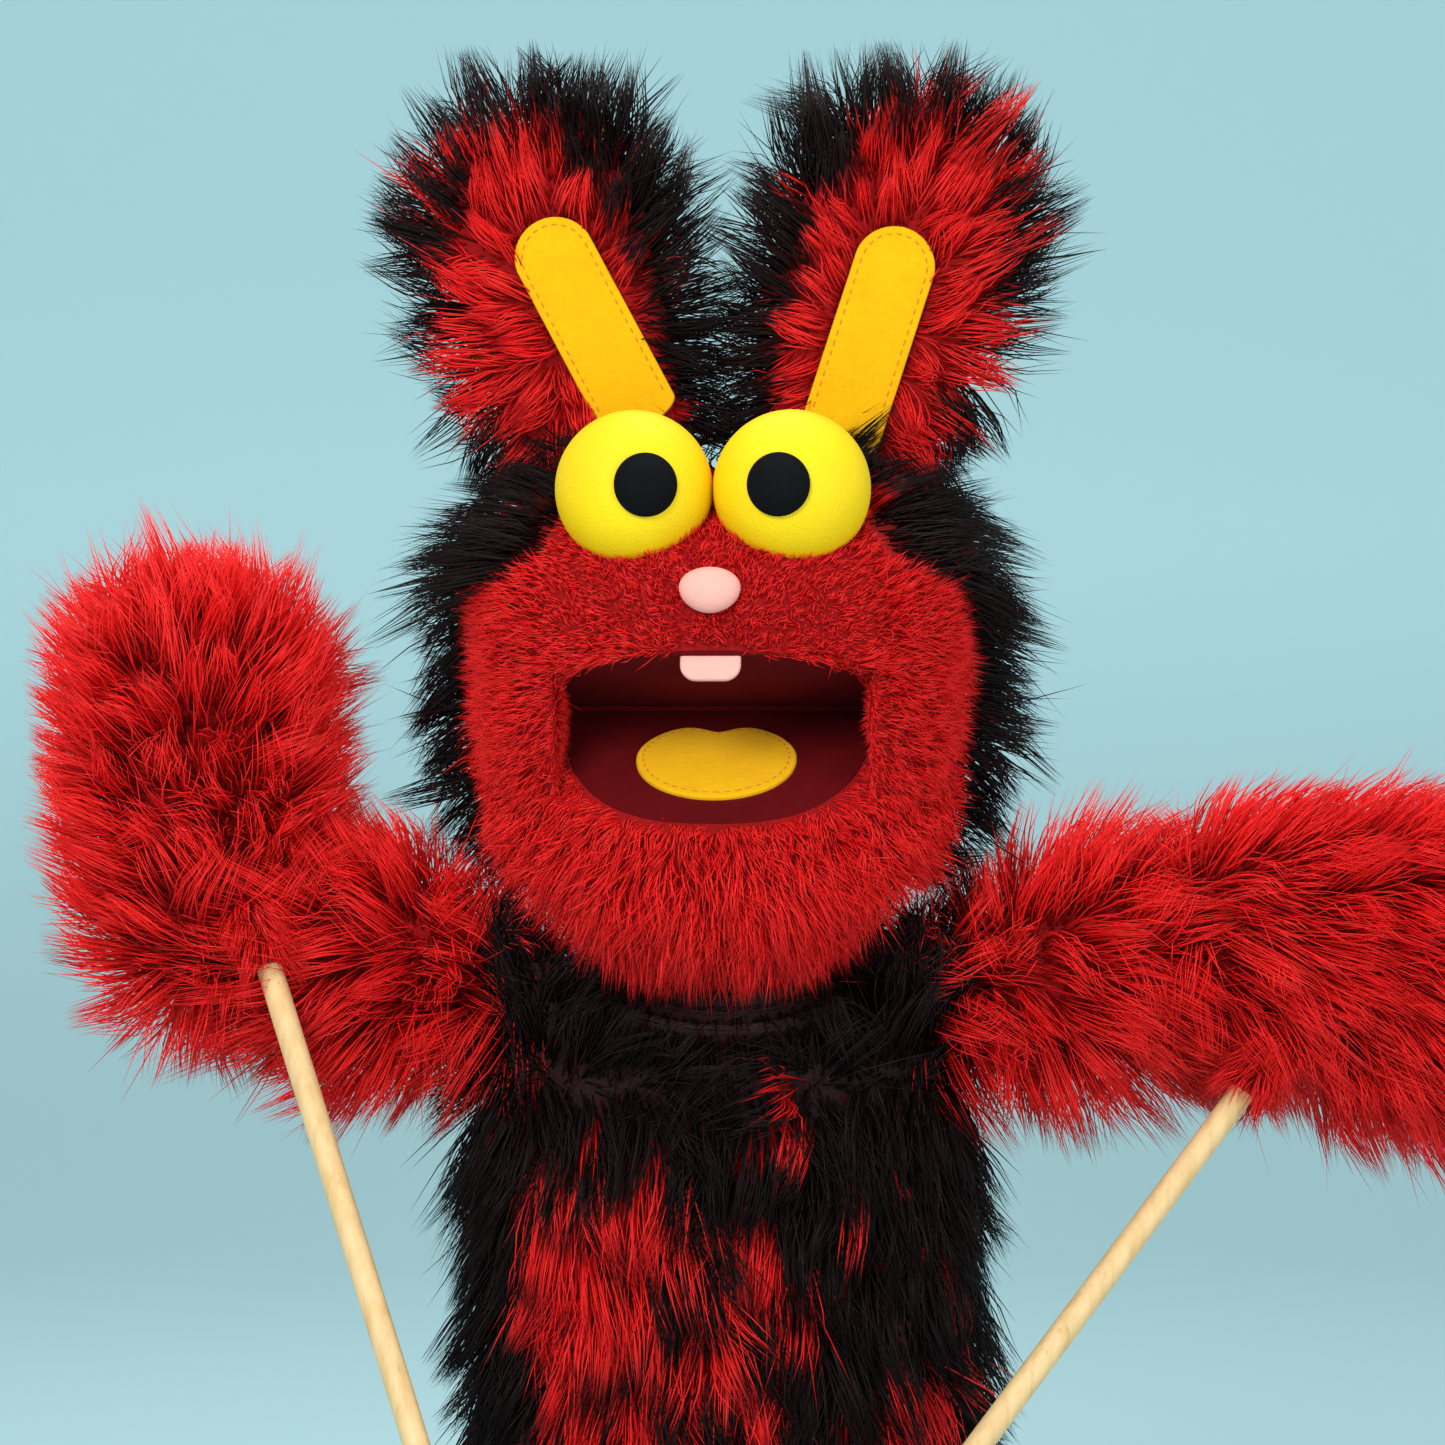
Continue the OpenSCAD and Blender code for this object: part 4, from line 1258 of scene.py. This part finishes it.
class PUPPET_OT_ears(bpy.types.Operator):
    """Makes the ears: red in front, black behind, with a stitched felt strip"""
    bl_idname = "puppet.ears"
    bl_label = "Ears"

    def execute(self, context):
        look = context.scene.puppet_fur
        for k, (side, s) in enumerate(SIDES.items()):
            place = ear_place(side)
            balls = [(x, 0, z, 6.5) for x, z in self.outline()]
            cover = new_piece(f"{side}_ear_cover", stretched_over(balls, place, 3, 4), red_backing(),
                              f"{side}_ear", [f"{side}_ear_fur_front", f"{side}_ear_fur_back"])

            def comb(p, n, place=place):
                """Out from the ear's middle, in swirls"""
                q = local(p, place)
                out = np.stack([q[:, 0] * 1.2, 0 * q[:, 0], np.maximum(q[:, 2] - 42, -14)], -1)
                m = np.array(place)[:3, :3]
                swirl = drift(p, 30, 21)[:, None] * along(0.5, 0, 0.5)
                return unit(unit(out) @ m.T + swirl * 0.6)

            def edge(p, place=place):
                """0 in the ear's middle and 1 at its rim"""
                q = local(p, place)
                rim = np.hypot(q[:, 0], np.maximum(q[:, 2] - 70, 0)) / 32
                return np.clip(rim, 0, 1.2)

            for j, name in enumerate((f"{side}_ear_front_pile", f"{side}_ear_back_pile")):
                skin = stretched_over(balls, place, 3, 4)
                cut(skin, place, (0, 0, 0), (0, 1 if j == 0 else -1, 0))
                inner = -s if j == 0 else 0

                def dark(p, place=place, inner=inner, j=j, edge=edge):
                    """Red in front, black at the rim and towards the other ear; black behind"""
                    q = local(p, place)
                    rim = ramp(edge(p), 0.55, 1.0)
                    hollow = ramp(q[:, 0] * inner, 4, 26) if inner else 0
                    mottle = 0.35 * drift(p, 22, 22)
                    front = 0.02 + 0.62 * rim + 0.55 * hollow + mottle * (0.3 + rim)
                    return np.clip(front if j == 0 else 0.9 + mottle, 0, 1)

                pile(name, skin, 60 + 4 * k + j, f"{side}_ear", fur(), comb,
                     lambda p: look.ear_pile + 15 * ramp(edge(p), 0.5, 1.05) + 3 * drift(p, 20, 23), dark,
                     per_mm2=0.46, width=look.thickness * 0.9, lean=0.6, fall=-0.02, lock=30,
                     pull=0.95, stray=0.07,
                     keep=self.off_strip(side, s, place) if j == 0 else None)
            pile(f"{side}_ear_fringe", stretched_over(balls, place, 3, 4), 70 + k, f"{side}_ear",
                 fur(), comb, lambda p: 33 + 5 * drift(p, 18, 24),
                 lambda p: 0.75 + 0.2 * drift(p, 15, 25), per_mm2=0.10, width=look.thickness, lean=0.35,
                 fall=0.0, lock=16, pull=0.98, stray=0.03, keep=lambda p, n: edge(p) > 0.86)
            self.strip(side, s, place)
        return {"FINISHED"}

    def outline(self):
        """The balls' places: round the ear's broad top, and down to its root"""
        rim = [(27 * math.cos(a), 76 + 27 * math.sin(a)) for a in np.linspace(-0.5, math.pi + 0.5, 12)]
        return rim + [(-21, 5), (0, 2), (21, 5)]

    def strip_place(self, side, s, place):
        """Where each strip lies on its ear; the two are sewn on at different angles"""
        lean, inwards, up = (12, 13, 10) if side == "left" else (2, 0, 6)
        turn = Matrix.Rotation(math.radians(s * lean), 4, "Y")
        return place @ Matrix.Translation((-s * inwards, -7.2, up)) @ turn

    def off_strip(self, side, s, place):
        """Keeps the pile off the strip"""
        strip = self.strip_place(side, s, place)

        def keep(p, n):
            q = local(p, strip)
            tall = np.clip(q[:, 2], 0, STRIP_L)
            return np.hypot(q[:, 0], q[:, 2] - tall) > STRIP_R - 2
        return keep

    def strip(self, side, s, place):
        """A strip of felt with a round top, stitched round its edge"""
        strip = self.strip_place(side, s, place)
        bm = bmesh.new()
        bmesh.ops.create_circle(bm, segments=48, radius=STRIP_R, cap_ends=True)
        bmesh.ops.rotate(bm, matrix=Matrix.Rotation(math.radians(90), 3, "X"), verts=bm.verts)
        for v in bm.verts:
            v.co.z = v.co.z + STRIP_L if v.co.z > 0.01 else v.co.z * 0.4
        extruded(bm, (0, -1.7, 0))
        round_edges(bm, 0.6, 3)
        bmesh.ops.transform(bm, matrix=strip, verts=bm.verts)
        felt = new_piece(f"{side}_ear_strip", bm, yellow_felt(), f"{side}_ear",
                         [f"{side}_ear_inner"])
        reach = STRIP_R - 2.4
        up = [(-reach, -1.75, z) for z in np.arange(2, STRIP_L, 3.4)]
        over = [(-reach * math.cos(t), -1.75, STRIP_L + reach * math.sin(t))
                for t in np.linspace(0.05, math.pi - 0.05, 11)]
        seam = up + over + [(-x, y, z) for x, y, z in reversed(up)]
        stitches(f"{side}_strip_stitches", seam, (0, -1, 0), strip, f"{side}_ear")


class PUPPET_OT_arms(bpy.types.Operator):
    """Stuffs the arms and paws and covers them with long red fur"""
    bl_idname = "puppet.arms"
    bl_label = "Arms"

    def execute(self, context):
        look = context.scene.puppet_fur
        for k, (side, s) in enumerate(SIDES.items()):
            shoulder, elbow = joint_at(f"{side}_shoulder_raise"), joint_at(f"{side}_elbow_bend")
            arm = axes_at(shoulder, elbow - shoulder, UP)
            out = middle(f"{side}_paw_stuffing") - elbow
            paw = axes_at(elbow, out, UP if abs(out.normalized().z) < 0.7 else Vector((0, 1, 0)))
            reach = (elbow - shoulder).length
            # Each part's balls, in its own frame, and the frame node that it stands for
            parts = {
                "shoulder": ([(0, 0, 0, 17)], Matrix.Translation(shoulder), f"{side}_shoulder_gusset"),
                "upper_arm": ([(20, 0, 0, 17), (36, 0, 0, 26), (57, 0, 0, 26), (reach - 24, 0, 0, 15)], arm,
                              f"{side}_arm_fur"),
                "paw": ([(0, 0, 0, 28), (67, 0, 13, 27), (67, 0, -13, 27)], paw, f"{side}_paw_fur"),
            }
            for j, (part, (balls, place, node)) in enumerate(parts.items()):
                def comb(p, n, place=place, part=part):
                    """Out along the arm in wandering tufts"""
                    m = np.array(place)[:3, :3]
                    way = m[:, 0] if part != "shoulder" else along(s, 0, 0)
                    return unit(way * 0.8 + along(0, 0, -0.12)
                                + 0.5 * drift(p, 45, 31)[:, None] * along(0.3, 0.3, 1))
                cover = new_piece(f"{side}_{part}_cover", stretched_over(balls, place, 4, 4), red_backing(),
                                  f"{side}_{part}", [node])
                pile(f"{side}_{part}_pile", stretched_over(balls, place, 4, 4), 80 + 8 * k + j,
                     f"{side}_{part}", fur(), comb,
                     lambda p: look.arm_pile + 5 * drift(p, 40, 32), no_dark,
                     per_mm2=0.36, width=look.thickness * 0.95, lean=0.36, fall=0.10, lock=24, pull=0.88)
        return {"FINISHED"}


class PUPPET_OT_rods(bpy.types.Operator):
    """Turns the wooden rods and hides the socks at their tops under fur"""
    bl_idname = "puppet.rods"
    bl_label = "Rods"

    def execute(self, context):
        for side in SIDES:
            top, mid = joint_at(f"{side}_rod_pitch"), middle(f"{side}_rod")
            way = (mid - top).normalized()
            place = Matrix.Translation(mid) @ way.to_track_quat("Z", "Y").to_matrix().to_4x4()
            length = 2 * ((mid - top).length - ROD_OFFSET)
            bm = bmesh.new()
            bmesh.ops.create_cone(bm, cap_ends=True, segments=32, radius1=4, radius2=4, depth=length)
            round_edges(bm, 0.7, 3, sharper=1)
            bmesh.ops.transform(bm, matrix=place, verts=bm.verts)
            self.cuff(side, place, length)
            new_piece(f"{side}_rod_dowel", bm, material("rod_wood", wood_dye, (260, 260, 22)),
                      f"{side}_rod", [f"{side}_rod"])
        return {"FINISHED"}

    def cuff(self, side, place, length):
        """The fur that hides the sock round the rod's top"""
        bm = bmesh.new()
        bmesh.ops.create_cone(bm, segments=24, radius1=5.3, radius2=5.3, depth=22,
                              matrix=place @ Matrix.Translation((0, 0, 11 - length / 2)))
        down = np.array(place)[:3, 2]
        pile(f"{side}_rod_cuff_fur", bm, 95 + SIDES[side], f"{side}_rod", fur(),
             lambda p, n: down + 0 * p, lambda p: 12 + 0 * p[:, 0], no_dark, per_mm2=1.2, width=0.5,
             lean=0.55, fall=0.05, lock=12, rings=2)


class PUPPET_OT_insides(bpy.types.Operator):
    """Gives the foam, stuffing, boards, pockets and lining inside their own finishes"""
    bl_idname = "puppet.insides"
    bl_label = "Insides"

    def execute(self, context):
        foam = material("foam", sponge_dye, (0.045, 0.02, 0.02), (0.015, 0.006, 0.006))
        filling = material("stuffing", sponge_dye, (0.42, 0.008, 0.01), (0.20, 0.003, 0.004), 160.0)
        board = material("mouth_board", plain_dye, (0.10, 0.10, 0.105), (0.06, 0.06, 0.062), 0.6)
        red_cloth = material("rod_cloth", cloth_dye, (0.45, 0.01, 0.012), (0.2, 0.004, 0.005), 1200)
        finish = {
            "foam": foam, "collar": foam, "core": foam, "stuffing": filling, "plate": board,
            "pocket": lining_cloth(), "body_lining": lining_cloth(), "hem_binding": lining_cloth(),
            "rod_tab": red_cloth, "rod_sock": red_cloth,
        }
        for name, node in frame["nodes"].items():
            if node.hide_render:
                continue
            found = next(finish[key] for key in finish if key in name)
            node.data.materials.clear()
            node.data.materials.append(found)
        return {"FINISHED"}


class PUPPET_PT_panel(bpy.types.Panel):
    """Every step of the puppet, in order"""
    bl_idname = "PUPPET_PT_panel"
    bl_label = "Moving mouth puppet"
    bl_space_type = "VIEW_3D"
    bl_region_type = "UI"
    bl_category = "Puppet"

    def draw(self, context):
        for group in GROUPS:
            settings = getattr(context.scene, group)
            box = self.layout.box()
            for name in settings.bl_rna.properties.keys():
                if name not in {"rna_type", "name"}:
                    box.prop(settings, name)
        for step in STEPS:
            self.layout.operator(step.bl_idname)


GROUPS = {"puppet_fur": FurSettings, "puppet_face": FaceSettings, "puppet_camera": CameraSettings}
STEPS = (PUPPET_OT_stage, PUPPET_OT_sleeve, PUPPET_OT_neck, PUPPET_OT_head, PUPPET_OT_jaw, PUPPET_OT_mouth,
         PUPPET_OT_eyes, PUPPET_OT_ears, PUPPET_OT_arms, PUPPET_OT_rods, PUPPET_OT_insides)
CLASSES = (*GROUPS.values(), *STEPS, PUPPET_PT_panel)


def register():
    """Adds the settings, the steps and the panel to Blender"""
    for cls in CLASSES:
        bpy.utils.register_class(cls)
    for name, group in GROUPS.items():
        setattr(bpy.types.Scene, name, PointerProperty(type=group))


def unregister():
    """Takes them out again"""
    for name in GROUPS:
        delattr(bpy.types.Scene, name)
    for cls in reversed(CLASSES):
        bpy.utils.unregister_class(cls)


def main():
    """Builds the puppet step by step"""
    register()
    for step in STEPS:
        group, name = step.bl_idname.split(".")
        getattr(getattr(bpy.ops, group), name)()


if __name__ == "__main__":
    main()
